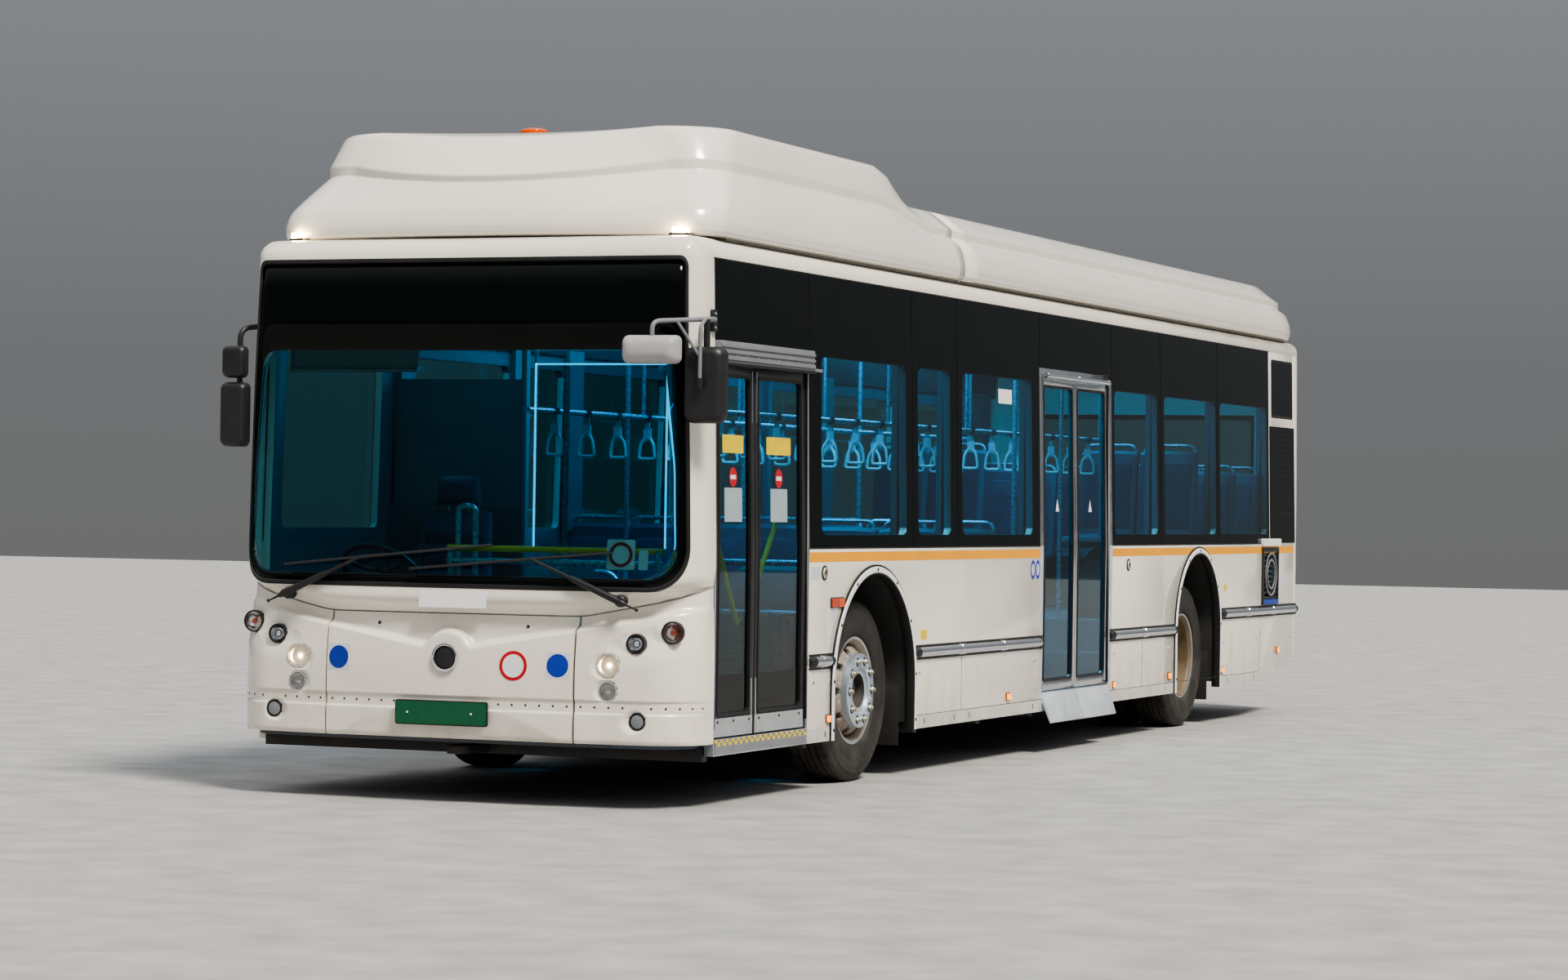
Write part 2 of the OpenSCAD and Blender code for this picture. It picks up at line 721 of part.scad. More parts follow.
module portal(s0, s1, d0, d1, sill, top, glass_z) {
  difference() {
    along_y(s0, s1) polygon([
      [half_w - wall_t, skirt_z], [half_w, skirt_z], [half_w, waist_z],
      [side_x(top + door_head), top + door_head], [side_x(top + door_head) - glass_t, top + door_head],
      [side_x(glass_z) - glass_t, glass_z],
      [side_x(band_z) - glass_t, band_z], [side_x(band_z) - wall_t, band_z], [half_w - wall_t, waist_z]
    ]);
    box(half_w - 3 * wall_t, half_w + 1, d0, d1, sill, top);
    for (h = [d0 + post_gap + hinge_in, d1 - post_gap - hinge_in]) {
      translate([hinge_x, h, sill - 16]) cylinder(h = 17, r = pin_r + pin_clear);
      translate([hinge_x, h, top - 1]) cylinder(h = 17, r = pin_r + pin_clear);
    }
  }
}
module doorways() color("silver") set() {
  portal(pillar_s, front_post_end_s, front_door_s, front_door_s + front_door_w, sill_z, front_door_z,
    front_door_z + front_rail_h);
  portal(mid_door_s - door_post, mid_door_end_s + door_post, mid_door_s, mid_door_end_s,
    mid_sill_z, mid_door_z, mid_door_z + mid_head_h);
  across_x(half_w - 28, half_w + 14)
    polygon(rounded(frame_rows(pillar_s, front_post_end_s, front_door_z, front_door_z + front_rail_h, 8)));
  for (s = [mid_door_s + 6, mid_door_s + mid_door_w / 2 + 3])
    along_y(s, s + mid_door_w / 2 - 9)
      polygon([[half_w - 10, 376], [half_w + 1, 380], [half_w + 62, 196], [half_w + 56, 190], [half_w - 10, 350]]);
}

// Running gear; a wheel is drawn about its own axis along Z, outer side up
module tyre_shape() {
  r = tyre_d / 2;
  b = rim_d / 2;
  h = tyre_w / 2;
  rotate_extrude($fn = 96) polygon([
    [b, -h + 36], [b + 18, -h + 36], [b + 40, -h + 12], [b + 105, -h], [r - 62, -h + 4], [r - 16, -h + 22], [r, -h + 44],
    [r, h - 44], [r - 16, h - 22], [r - 62, h - 4], [b + 105, h],
    [b + 40, h - 12], [b + 18, h - 36], [b, h - 36]
  ]);
}
// Rim and disc; dish is the height of the mounting face above the rim's middle
module rim_shape(dish) {
  b = rim_d / 2;
  h = tyre_w / 2 - 34;
  s = dish > 0 ? 1 : -1;
  rotate_extrude($fn = 96) {
    difference() {
      polygon([[b, h], [b + 13, h + 2], [b + 13, h + 10], [b - 2, h + 10], [b - 22, h - 14], [b - 30, 20],
        [b - 30, -20], [b - 22, 14 - h], [b - 2, -h - 10], [b + 13, -h - 10], [b + 13, -h - 2], [b, -h],
        [b, -60], [b - 16, -30], [b - 16, 30], [b, 60]]);
    }
    polygon([[b - 20, s * 10], [b - 24, s * 34], [b - 40, dish - s * 34], [b - 62, dish - s * 8], [b - 84, dish],
      [112, dish], [112, dish - s * 14], [b - 90, dish - s * 14], [b - 76, dish - s * 22],
      [b - 56, dish - s * 44], [b - 42, s * 26], [b - 36, -s * 6], [b - 20, -s * 6]]);
  }
}
module hand_holes(dish) {
  for (i = [0 : 9])
    rotate(36 * i + 18) translate([rim_d / 2 - 58, 0, min(0, dish) - 30]) cylinder(h = abs(dish) + 60, r = 24);
}
module nuts(z) {
  for (i = [0 : 9])
    rotate(36 * i) translate([stud_pcd / 2, 0, z]) {
      cylinder(h = 22, r = 18, $fn = 6);
      cylinder(h = 40, r = 11, $fn = 24);
    }
}
module at_wheel(side, s, x) translate([side * x, s, axle_z]) rotate([0, side * 90, 0]) children();
front_dish = 122;
spindle_r = 46;
nut_ring_h = 24;
module front_rim(side) {
  at_wheel(side, front_axle_s, wheel_x) {
    difference() {
      union() {
        difference() {
          rim_shape(front_dish);
          hand_holes(front_dish);
        }
        translate([0, 0, -20]) cylinder(h = front_dish + 20 + nut_ring_h, r = 203);
        translate([0, 0, -30]) cylinder(h = 36, r = 215);
      }
      translate([0, 0, -31]) cylinder(h = 100, r = spindle_r + pin_clear);
      translate([0, 0, front_dish - 38]) cylinder(h = 100, r = 95);
      for (i = [0 : 9])
        rotate(36 * i) translate([stud_pcd / 2, 0, front_dish + 4]) cylinder(h = 40, r = 26);
    }
    nuts(front_dish + 3);
    translate([0, 0, front_dish - 39]) cylinder(h = 22, r = 62);
  }
}
module rear_rims(side) {
  at_wheel(side, rear_axle_s, wheel_x) {
    difference() {
      rim_shape(-twin_pitch / 2 + 14);
      hand_holes(-twin_pitch / 2 + 14);
    }
    translate([0, 0, -twin_pitch]) difference() {
      rim_shape(twin_pitch / 2);
      hand_holes(twin_pitch / 2);
    }
    translate([0, 0, -twin_pitch / 2 + 14]) {
      nuts(0);
      translate([0, 0, -40]) cylinder(h = 130, r = 112);
      translate([0, 0, 90]) cylinder(h = 26, r = 88);
    }
    translate([0, 0, -twin_pitch - 40]) difference() {
      cylinder(h = twin_pitch / 2 + 60, r = 200);
      translate([0, 0, -1]) cylinder(h = 90, r = 128);
      translate([0, 0, -1]) cylinder(h = 190, r = 60 + pin_clear);
    }
  }
}
module rim_fl() color("beige") set() front_rim(1);
module rim_fr() color("beige") set() front_rim(-1);
module rim_rl() color("beige") set() rear_rims(1);
module rim_rr() color("beige") set() rear_rims(-1);
module tyre_fl() color("#222222") set() at_wheel(1, front_axle_s, wheel_x) tyre_shape();
module tyre_fr() color("#222222") set() at_wheel(-1, front_axle_s, wheel_x) tyre_shape();
module tyre_rl() color("#222222") set() {
  at_wheel(1, rear_axle_s, wheel_x) tyre_shape();
  at_wheel(1, rear_axle_s, wheel_x - twin_pitch) tyre_shape();
}
module tyre_rr() color("#222222") set() mirror([1, 0, 0]) {
  at_wheel(1, rear_axle_s, wheel_x) tyre_shape();
  at_wheel(1, rear_axle_s, wheel_x - twin_pitch) tyre_shape();
}
boss_h = 110;
module knuckle() {
  z = axle_z;
  translate([kingpin_x, front_axle_s, z - boss_h / 2 - 46]) cylinder(h = 40, r = 52);
  translate([kingpin_x, front_axle_s, z + boss_h / 2 + 6]) cylinder(h = 40, r = 52);
  translate([kingpin_x, front_axle_s, z - boss_h / 2 - 46]) cylinder(h = boss_h + 92, r = 28);
  difference() {
    box(kingpin_x, kingpin_x + 62, front_axle_s - 52, front_axle_s + 52, z - boss_h / 2 - 46, z + boss_h / 2 + 46);
    translate([kingpin_x, front_axle_s, z - boss_h / 2 - 6]) cylinder(h = boss_h + 12, r = 61);
  }
  translate([kingpin_x + 55, front_axle_s, z]) rotate([0, 90, 0])
    cylinder(h = wheel_x + 60 - kingpin_x - 55, r = spindle_r);
  box(kingpin_x - 30, kingpin_x + 24, front_axle_s + 40, front_axle_s + 190, z - 96, z - 61);
}
module knuckle_left() color("dimgray") set() knuckle();
module knuckle_right() color("dimgray") set() mirror([1, 0, 0]) knuckle();
module front_axle() color("dimgray") set() {
  difference() {
    union() {
      box(-640, 640, front_axle_s - 70, front_axle_s + 70, 150, 225);
      both() {
        along_y(front_axle_s - 38, front_axle_s + 38)
          polygon([[560, 150], [660, 150], [kingpin_x - 90, axle_z - 50], [kingpin_x - 40, axle_z - 50],
            [kingpin_x - 40, axle_z + 50],
            [kingpin_x - 90, axle_z + 50], [560, 225]]);
        translate([kingpin_x, front_axle_s, axle_z - boss_h / 2]) cylinder(h = boss_h, r = 55);
        translate([rail_x, front_axle_s, 224]) cylinder(h = floor_z - floor_t - rail_h - 224, r = 90);
      }
    }
    both() translate([kingpin_x, front_axle_s, axle_z - boss_h / 2 - 1])
      cylinder(h = boss_h + 2, r = 28 + pin_clear);
  }
}
high_rail_z = high_floor_z - floor_t - rail_h;
module rear_axle() color("dimgray") set() {
  hub_in = wheel_x - twin_pitch - 40;
  translate([-hub_in - 60, rear_axle_s, axle_z]) rotate([0, 90, 0]) cylinder(h = 2 * hub_in + 120, r = 90);
  translate([0, rear_axle_s, axle_z]) rotate([90, 0, 0]) rotate_extrude()
    polygon([[0, -150], [105, -150], [165, -105], [190, -50], [190, 50], [165, 105], [105, 150], [0, 150]]);
  translate([0, rear_axle_s - 20, axle_z]) rotate([90, 0, 0]) cylinder(h = 300, r = 95);
  both() {
    box(rail_x - 40, rail_x + 40, rear_axle_s - 500, rear_axle_s + 500, axle_z - 50, axle_z + 20);
    for (dy = [-410, 410])
      translate([rail_x, rear_axle_s + dy, axle_z + 20]) cylinder(h = high_rail_z - axle_z - 20, r = 110);
    translate([hub_in + 10, rear_axle_s, axle_z]) rotate([0, 90, 0]) cylinder(h = 60, r = 120);
    translate([hub_in, rear_axle_s, axle_z]) rotate([0, 90, 0]) cylinder(h = 180, r = 60);
  }
}
low_rail_z = floor_z - floor_t - rail_h;
frame_joint_s = step_s + 400;
frame_end_s = rear_s - 275;
tow_front_s = -160;
tow_rear_s = rear_s - 155;
module member(s, z) box(-half_w + wall_t + 2, half_w - wall_t - 2, s, s + 60, z, z + rail_h);
module tow_eye(s0, s1, at, z) difference() {
  union() {
    box(-60, 60, s0, s1, z, z + 40);
    translate([0, at, z]) cylinder(h = 40, r = 60);
  }
  translate([0, at, z - 10]) cylinder(h = 60, r = tow_r);
}
module chassis() color("dimgray") set() {
  both() box(rail_x - rail_w / 2, rail_x + rail_w / 2, 60, frame_joint_s, low_rail_z, low_rail_z + rail_h);
  for (s = [60, 1400, 3100, 4200, 5200, 6700]) member(s, low_rail_z);
  both() for (s = [3180, step_s - 170]) box(rail_x - 60, rail_x + 60, s, s + 120, low_rail_z - 20, low_rail_z + 1);
  tow_eye(tow_front_s, 61, tow_front_s, low_rail_z + 10);
}
module chassis_rear() color("dimgray") set() {
  both() across_x(rail_x - rail_w / 2, rail_x + rail_w / 2) polygon([
    [frame_joint_s, low_rail_z], [frame_joint_s + 40, low_rail_z], [frame_joint_s + 310, high_rail_z],
    [frame_end_s, high_rail_z], [frame_end_s, high_rail_z + rail_h],
    [frame_joint_s + 270, high_rail_z + rail_h], [frame_joint_s, low_rail_z + rail_h]
  ]);
  for (s = [frame_joint_s + 360, rear_axle_s + 670, rear_member_s, frame_end_s - 60]) member(s, high_rail_z);
  tow_eye(frame_end_s - 1, tow_rear_s, tow_rear_s, high_rail_z);
}
tread_z = 560;
second_step_s = step_s + 350;
floor_end_s = rear_s - wall_t - 60;
// Floor seen from the side, cut to the inside of the body
module floor_plate() difference() {
  intersection() {
    across_x(-half_w, half_w) children();
    union() {
      difference() {
        envelope(wall_t + 1);
        box(-half_w, half_w, -nose, pillar_s, 0, roof_z);
      }
      envelope(mask_t + 2);
    }
  }
  both() arch_hole(wheel_in_x - 25, half_w, 25);
}
module floor() color("slategray") set() floor_plate()
  polygon([[-230, floor_z - floor_t], [step_s, floor_z - floor_t], [step_s, floor_z], [-230, floor_z]]);
module floor_high() color("slategray") set() floor_plate() polygon([
  [step_s, floor_z - floor_t], [step_s + floor_t, floor_z - floor_t], [step_s + floor_t, tread_z - floor_t],
  [second_step_s + floor_t, tread_z - floor_t], [second_step_s + floor_t, high_floor_z - floor_t],
  [floor_end_s, high_floor_z - floor_t], [floor_end_s, high_floor_z],
  [second_step_s, high_floor_z], [second_step_s, tread_z], [step_s, tread_z]
]);
module housing(s, w, top) {
  difference() {
    across_x(wheel_in_x - 25, half_w - wall_t) intersection() {
      arch(s, w + 25, top + 25);
      translate([s - w - 30, skirt_z + 40]) square([2 * w + 60, top]);
    }
    across_x(wheel_in_x, half_w) arch(s, w, top);
  }
}
module wheel_housings() color("#2a2a2a") set() both() {
  difference() {
    housing(front_axle_s, front_arch_w, front_arch_z);
    box(wheel_in_x - 26, wheel_in_x + 1, front_axle_s - 90, front_axle_s + 90, 0, 640);
  }
  difference() {
    housing(rear_axle_s, rear_arch_w, rear_arch_z);
    box(wheel_in_x - 26, wheel_in_x + 1, rear_axle_s - 140, rear_axle_s + 140, 0, 660);
  }
  for (a = [[front_axle_s, front_arch_w], [rear_axle_s, rear_arch_w]])
    box(900, 1215, a[0] + a[1] - 10, a[0] + a[1] + 1, 170, 520);
}

// Trim
module side_trim() color("silver") set() both() {
  for (r = RUB_RAILS) {
    along_y(r[0], r[1]) translate([half_w, r[2]]) intersection() {
      circle(30);
      translate([0, -40]) square([40, 80]);
    }
    for (s = [r[0], (r[0] + r[1]) / 2 - 30, r[1] - 60])
      along_y(s, s + 60) translate([half_w, r[2]]) intersection() {
        circle(36);
        translate([0, -40]) square([40, 80]);
      }
  }
  difference() {
    arch_hole(half_w, half_w + 12, arch_trim);
    arch_hole(half_w - 1, half_w + 13, 0);
    box(half_w - 1, half_w + 13, 0, rear_s, -300, skirt_z);
  }
}
module front_lamps() color("white") set() both()
  for (p = FRONT_LAMPS)
    translate([p[0], p[1] + mask_t - 6, p[2]]) rotate([90, 0, 0]) {
      cylinder(h = mask_t - 6, r = p[3]);
      translate([0, 0, mask_t - 6]) cylinder(h = 8, r1 = p[3], r2 = p[3] - 10);
    }
// Side markers, columns: station, height, half width, half height
MARKERS = [[1632, 384, 22, 18], [4636, 383, 34, 20], [step_s - 50, 383, 34, 20], [rear_axle_s + 890, 430, 34, 20],
  [1727, 1007, 50, 22]];
module amber_lamps() color("orange") set() {
  both() {
    for (m = MARKERS)
      box(half_w, half_w + 14, m[0] - m[2], m[0] + m[2], m[1] - m[3], m[1] + m[3]);
    box(1060, 1130, pod_front_s + 70, pod_front_s + 150, roof_z, pod_low_edge);
  }
  translate([-440, 1500, pod_high_z]) {
    cylinder(h = 24, r = beacon_d / 2 + 8);
    cylinder(h = 92, r = beacon_d / 2);
    translate([0, 0, 92]) cylinder(h = 20, r1 = beacon_d / 2, r2 = beacon_d / 2 - 24);
  }
}
module rear_lamps() color("firebrick") set() both()
  for (z = [760, 900, 1040, 1180])
    translate([1040, rear_s, z]) rotate([-90, 0, 0]) cylinder(h = 22, r = 55);
wiper_s = -296;
wiper_x = 938;
module wipers() color("#202020") set() {
  for (side = [-1, 1]) {
    translate([side * wiper_x, wiper_x * wiper_x / 2 / front_r - nose, 1038])
      rotate([0, 0, side * asin(wiper_x / front_r)]) rotate([90, 0, 0]) cylinder(h = 66, r = 22);
    rod([side * wiper_x, wiper_s - 30, 1038], [side * 480, wiper_s - 62, 1236], 9);
    rod([side * 480 - 420, wiper_s - 58, 1236], [side * 480 + 420, wiper_s - 58, 1262], 11);
  }
}
module mirror_head(x0, x1, s, z0, z1, depth, r) {
  along_y(s, s + depth) polygon(rounded(frame_rows(x0, x1, z0, z1, r)));
}
module mirrors() color("#202020") set() {
  both()
    along_y(22, 74) translate([plate_seat, 0]) polygon([
      [side_x(2390), 2390], [side_x(2390) + 16, 2390], [side_x(2500) + 16, 2500], [side_x(2500), 2500]
    ]);
  rod([1291, 50, 2450], [1345, -180, 2440], 13);
  rod([1345, -180, 2464], [1345, -180, 1960], 17);
  rod([1345, -180, 2434], [1170, -452, 2418], 12);
  rod([1170, -452, 2440], [1170, -452, 2330], 16);
  mirror_head(1240, 1450, -236, 1925, 2305, 72, 30);
  mirror_head(1020, 1310, -mirror_reach + 40, 2210, 2350, 90, 30);
  rod([-1291, 50, 2430], [-1350, -90, 2410], 13);
  rod([-1350, -90, 2434], [-1350, -90, 1850], 17);
  mirror_head(-1450, -1285, -150, 1790, 2130, 70, 30);
  mirror_head(-1440, -1295, -150, 2150, 2320, 60, 30);
}
module side_vent() color("#303030") set() both() {
  difference() {
    box(half_w, half_w + 14, vent_s, vent_s + vent_l, vent_low_z, vent_high_z);
    box(half_w - 1, half_w + 15, vent_s + 30, vent_s + vent_l - 30, vent_low_z + 30, vent_high_z - 30);
  }
  for (i = [0 : 8])
    box(half_w - 20, half_w + 6, vent_s + 29, vent_s + vent_l - 29, vent_low_z + 44 + 40 * i, vent_low_z + 62 + 40 * i);
}

// Interior
module seat_shell(w) {
  across_x(-w / 2, w / 2) polygon(rounded([
    [0, 400, 20], [20, 445, 20], [430, 425, 40], [520, 1060, 20], [560, 1060, 20], [490, 385, 60]
  ]));
}
module seats() color("slategray") set() {
  for (r = SEAT_ROWS)
    translate([r[2], r[0], r[1]]) {
      for (dx = [-seat_w / 2 - 6, seat_w / 2 + 6]) translate([dx, 0, 0]) seat_shell(seat_w);
      box(-380, 380, 200, 260, 360, 402);
      if (r[1] != housing_seat_z) box(-30, 30, 200, 260, 0, 362);
      else box(-380, 380, 180, 420, rear_arch_z + 25 - housing_seat_z, 402);
    }
  translate([0, last_row_s, high_floor_z]) {
    for (i = [-2 : 2]) translate([i * (seat_w + 8), 0, 0]) seat_shell(seat_w);
    box(-1000, 1000, 200, 260, 0, 401);
  }
}
module driver_seat() color("#303438") set() translate([-720, 560, 0]) {
  box(-190, 190, 120, 420, floor_z, 760);
  across_x(-240, 240) polygon(rounded([
    [0, 760, 30], [0, 880, 50], [420, 850, 60], [520, 1480, 60], [640, 1480, 50], [560, 760, 60]
  ]));
  across_x(-130, 130) polygon(rounded(frame_rows(530, 630, 1470, 1660, 40)));
}
module dashboard() color("#252525") set() {
  intersection() {
    across_x(-1225, -180) polygon(rounded([
      [-150, 700, 40], [-200, 1060, 60], [20, 1100, 60], [180, 1010, 60], [160, 700, 40]
    ]));
    linear_extrude(roof_z) plan(120);
  }
  across_x(-1100, -300) polygon([[-60, floor_z], [60, floor_z], [60, 720], [-60, 720]]);
  rod([-720, 120, 900], [-720, 330, 1130], 28);
  translate([-720, 340, 1140]) rotate([-42, 0, 0]) {
    rotate_extrude($fn = 64) translate([215, 0]) circle(15, $fn = 24);
    for (a = [0, 120, 240]) rotate(a + 90) translate([0, -14, -8]) cube([210, 28, 14]);
    translate([0, 0, -24]) cylinder(h = 34, r = 60);
  }
}
module partition() color("slategray") set() {
  box(-half_w + wall_t + 6, -420, 1370, 1400, floor_z, 1500);
  box(-half_w + wall_t + 40, -430, 1380, 1390, 1500, 2200);
  rod([-420, 1385, floor_z], [-420, 1385, roof_z - wall_t], rail_r);
}
// Upright poles, columns: x, station, floor height
POLES = [[560, 1650, floor_z], [560, 3060, floor_z], [560, 4820, floor_z], [560, 6860, floor_z], [560, 7860, high_floor_z],
  [-560, 3060, floor_z], [-560, 4820, floor_z], [-560, 6860, floor_z], [-560, 7860, high_floor_z],
  [336, rear_axle_s + 690, high_floor_z], [-336, rear_axle_s + 690, high_floor_z]];
module handrails() color("steelblue") set() {
  for (p = POLES) rod([p[0], p[1], p[2]], [p[0], p[1], roof_z - wall_t], rail_r);
  for (x = [-grab_x, grab_x]) {
    rod([x, 1600, grab_z], [x, rear_axle_s + 190, grab_z], rail_r);
    for (s = [1700 : 1450 : rear_axle_s + 150])
      rod([x, s, grab_z], [x, s, roof_z - wall_t], rail_r - 4);
  }
}

chassis();
chassis_rear();
floor();
floor_high();
wheel_housings();
left_wall();
right_wall();
left_glass();
right_glass();
roof();
front_frame();
windscreen();
mask_corners();
front_hatch();
rear_wall();
rear_hatch();
rear_window();
pod_front();
pod_rear();
power_blocks();
doorways();
door_front_a();
door_front_b();
door_mid_a();
door_mid_b();
door_front_a_glass();
door_front_b_glass();
door_mid_a_glass();
door_mid_b_glass();
front_axle();
rear_axle();
knuckle_left();
knuckle_right();
rim_fl();
rim_fr();
rim_rl();
rim_rr();
tyre_fl();
tyre_fr();
tyre_rl();
tyre_rr();
side_trim();
front_lamps();
amber_lamps();
rear_lamps();
wipers();
mirrors();
driver_seat();
dashboard();
partition();
seats();
handrails();
side_vent();
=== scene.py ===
"""Looks of the airport passenger bus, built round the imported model, in metres."""
import json
import math

import bmesh
import bpy
import numpy as np
from mathutils import Matrix, Vector

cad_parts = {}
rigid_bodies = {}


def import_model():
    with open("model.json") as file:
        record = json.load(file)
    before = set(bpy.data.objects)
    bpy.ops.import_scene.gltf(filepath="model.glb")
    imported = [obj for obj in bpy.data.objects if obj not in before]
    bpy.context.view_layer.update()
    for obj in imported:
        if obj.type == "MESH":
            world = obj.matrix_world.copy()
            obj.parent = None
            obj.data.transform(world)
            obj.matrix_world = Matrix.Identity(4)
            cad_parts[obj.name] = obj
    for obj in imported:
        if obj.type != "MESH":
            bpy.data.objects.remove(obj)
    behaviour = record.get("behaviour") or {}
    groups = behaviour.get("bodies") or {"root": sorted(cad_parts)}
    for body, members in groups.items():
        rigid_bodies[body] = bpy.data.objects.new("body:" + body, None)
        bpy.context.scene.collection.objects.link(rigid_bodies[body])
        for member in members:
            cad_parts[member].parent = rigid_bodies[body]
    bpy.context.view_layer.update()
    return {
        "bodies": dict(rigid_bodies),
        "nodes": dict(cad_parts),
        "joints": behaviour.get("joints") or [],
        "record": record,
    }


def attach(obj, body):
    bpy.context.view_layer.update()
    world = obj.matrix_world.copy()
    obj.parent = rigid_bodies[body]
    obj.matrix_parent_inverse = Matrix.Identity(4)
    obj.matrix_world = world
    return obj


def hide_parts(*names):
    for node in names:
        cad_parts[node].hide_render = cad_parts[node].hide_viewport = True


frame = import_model()
nodes = frame["nodes"]

# Pieces are drawn in stations: y is the distance behind the front corner of the body
ORIGIN = 5.5575
HALF_W = 1.3
WAIST_Z = 1.302
BAND_Z = 2.762
ROOF_Z = 2.869
LEAN = math.radians(1.3)
FRONT_R, NOSE, CORNER_R = 7.5, 0.325, 0.28
REAR_Y = 11.675
PILLAR_Y = 0.08
AXLE_Z = 0.506
FRONT_AXLE, REAR_AXLE = 2.33, 8.81
WHEEL_X = 1.06
TWIN_PITCH = 0.335
FLOOR_Z, HIGH_FLOOR_Z = 0.345, 0.775
DRIVER_X = -0.72
VENT_Y = 10.76

ARC_Y = FRONT_R - NOSE
CORNER_X = HALF_W - CORNER_R
TURN = math.asin(CORNER_X / (FRONT_R - CORNER_R))
CORNER_Y = ARC_Y - (FRONT_R - CORNER_R) * math.cos(TURN)
ARC_LEN = FRONT_R * TURN
CORNER_LEN = CORNER_R * (math.pi / 2 - TURN)
SIDE_END = ARC_LEN + CORNER_LEN + PILLAR_Y - CORNER_Y


def side_x(z):
    """Outer face of the side at a height."""
    return HALF_W - max(0.0, z - WAIST_Z) * math.tan(LEAN)


# Materials
def shader_node(tree, kind, inputs, **settings):
    """A shader node whose inputs are values or outputs of other nodes."""
    n = tree.nodes.new("ShaderNode" + kind)
    for key, v in settings.items():
        setattr(n, key, v)
    for key, v in inputs.items():
        if isinstance(v, bpy.types.NodeSocket):
            tree.links.new(v, n.inputs[key])
        else:
            n.inputs[key].default_value = v
    return n


def material(name, color, rough=0.5, metal=0.0, tone=0.06, grain=5.0, spread=0.05, bump=0.0, fine=250.0,
             dirt=0.0, dirt_top=0.9, dirt_color=(0.16, 0.13, 0.1), **inputs):
    """A shader with uneven tone and gloss, a fine bump and dirt that thins out upwards."""
    m = bpy.data.materials.new(name)
    m.use_nodes = True
    tree = m.node_tree
    shader = tree.nodes["Principled BSDF"]
    where = tree.nodes.new("ShaderNodeTexCoord").outputs["Object"]

    def noise(scale, detail=6.0):
        return shader_node(tree, "TexNoise", {"Vector": where, "Scale": scale, "Detail": detail}).outputs["Fac"]

    def ranged(value, *limits):
        return shader_node(tree, "MapRange", dict(enumerate((value, *limits)))).outputs[0]

    def mixed(fac, a, b):
        return shader_node(tree, "Mix", {"Factor": fac, 6: a, 7: b}, data_type="RGBA").outputs[2]

    low = tuple(c * (1 - tone) for c in color)
    high = tuple(min(1.0, c * (1 + tone)) for c in color)
    out = mixed(ranged(noise(grain), 0.3, 0.7, 0.0, 1.0), (*low, 1), (*high, 1))
    gloss = ranged(noise(grain * 2.3), 0.3, 0.7, max(0.0, rough - spread), rough + spread)
    if dirt:
        split = shader_node(tree, "SeparateXYZ", {0: where})
        height = ranged(split.outputs["Z"], 0.2, dirt_top, 1.0, 0.0)
        patch = ranged(noise(7.0, 9.0), 0.42, 0.68, 0.15, 1.0)
        both = shader_node(tree, "Math", {0: height, 1: patch}, operation="MULTIPLY")
        share = ranged(both.outputs[0], 0.0, 1.0, 0.0, dirt)
        out = mixed(share, out, (*dirt_color, 1))
        gloss = shader_node(tree, "Math", {0: share, 1: 0.5, 2: gloss}, operation="MULTIPLY_ADD").outputs[0]
    tree.links.new(out, shader.inputs["Base Color"])
    tree.links.new(gloss, shader.inputs["Roughness"])
    shader.inputs["Metallic"].default_value = metal
    if bump:
        b = shader_node(tree, "Bump", {"Strength": bump, "Distance": 0.002, "Height": noise(fine, 3.0)})
        tree.links.new(b.outputs[0], shader.inputs["Normal"])
    for key, v in inputs.items():
        shader.inputs[key.replace("_", " ")].default_value = v
    return m


def look(*values, **more):
    return values, more


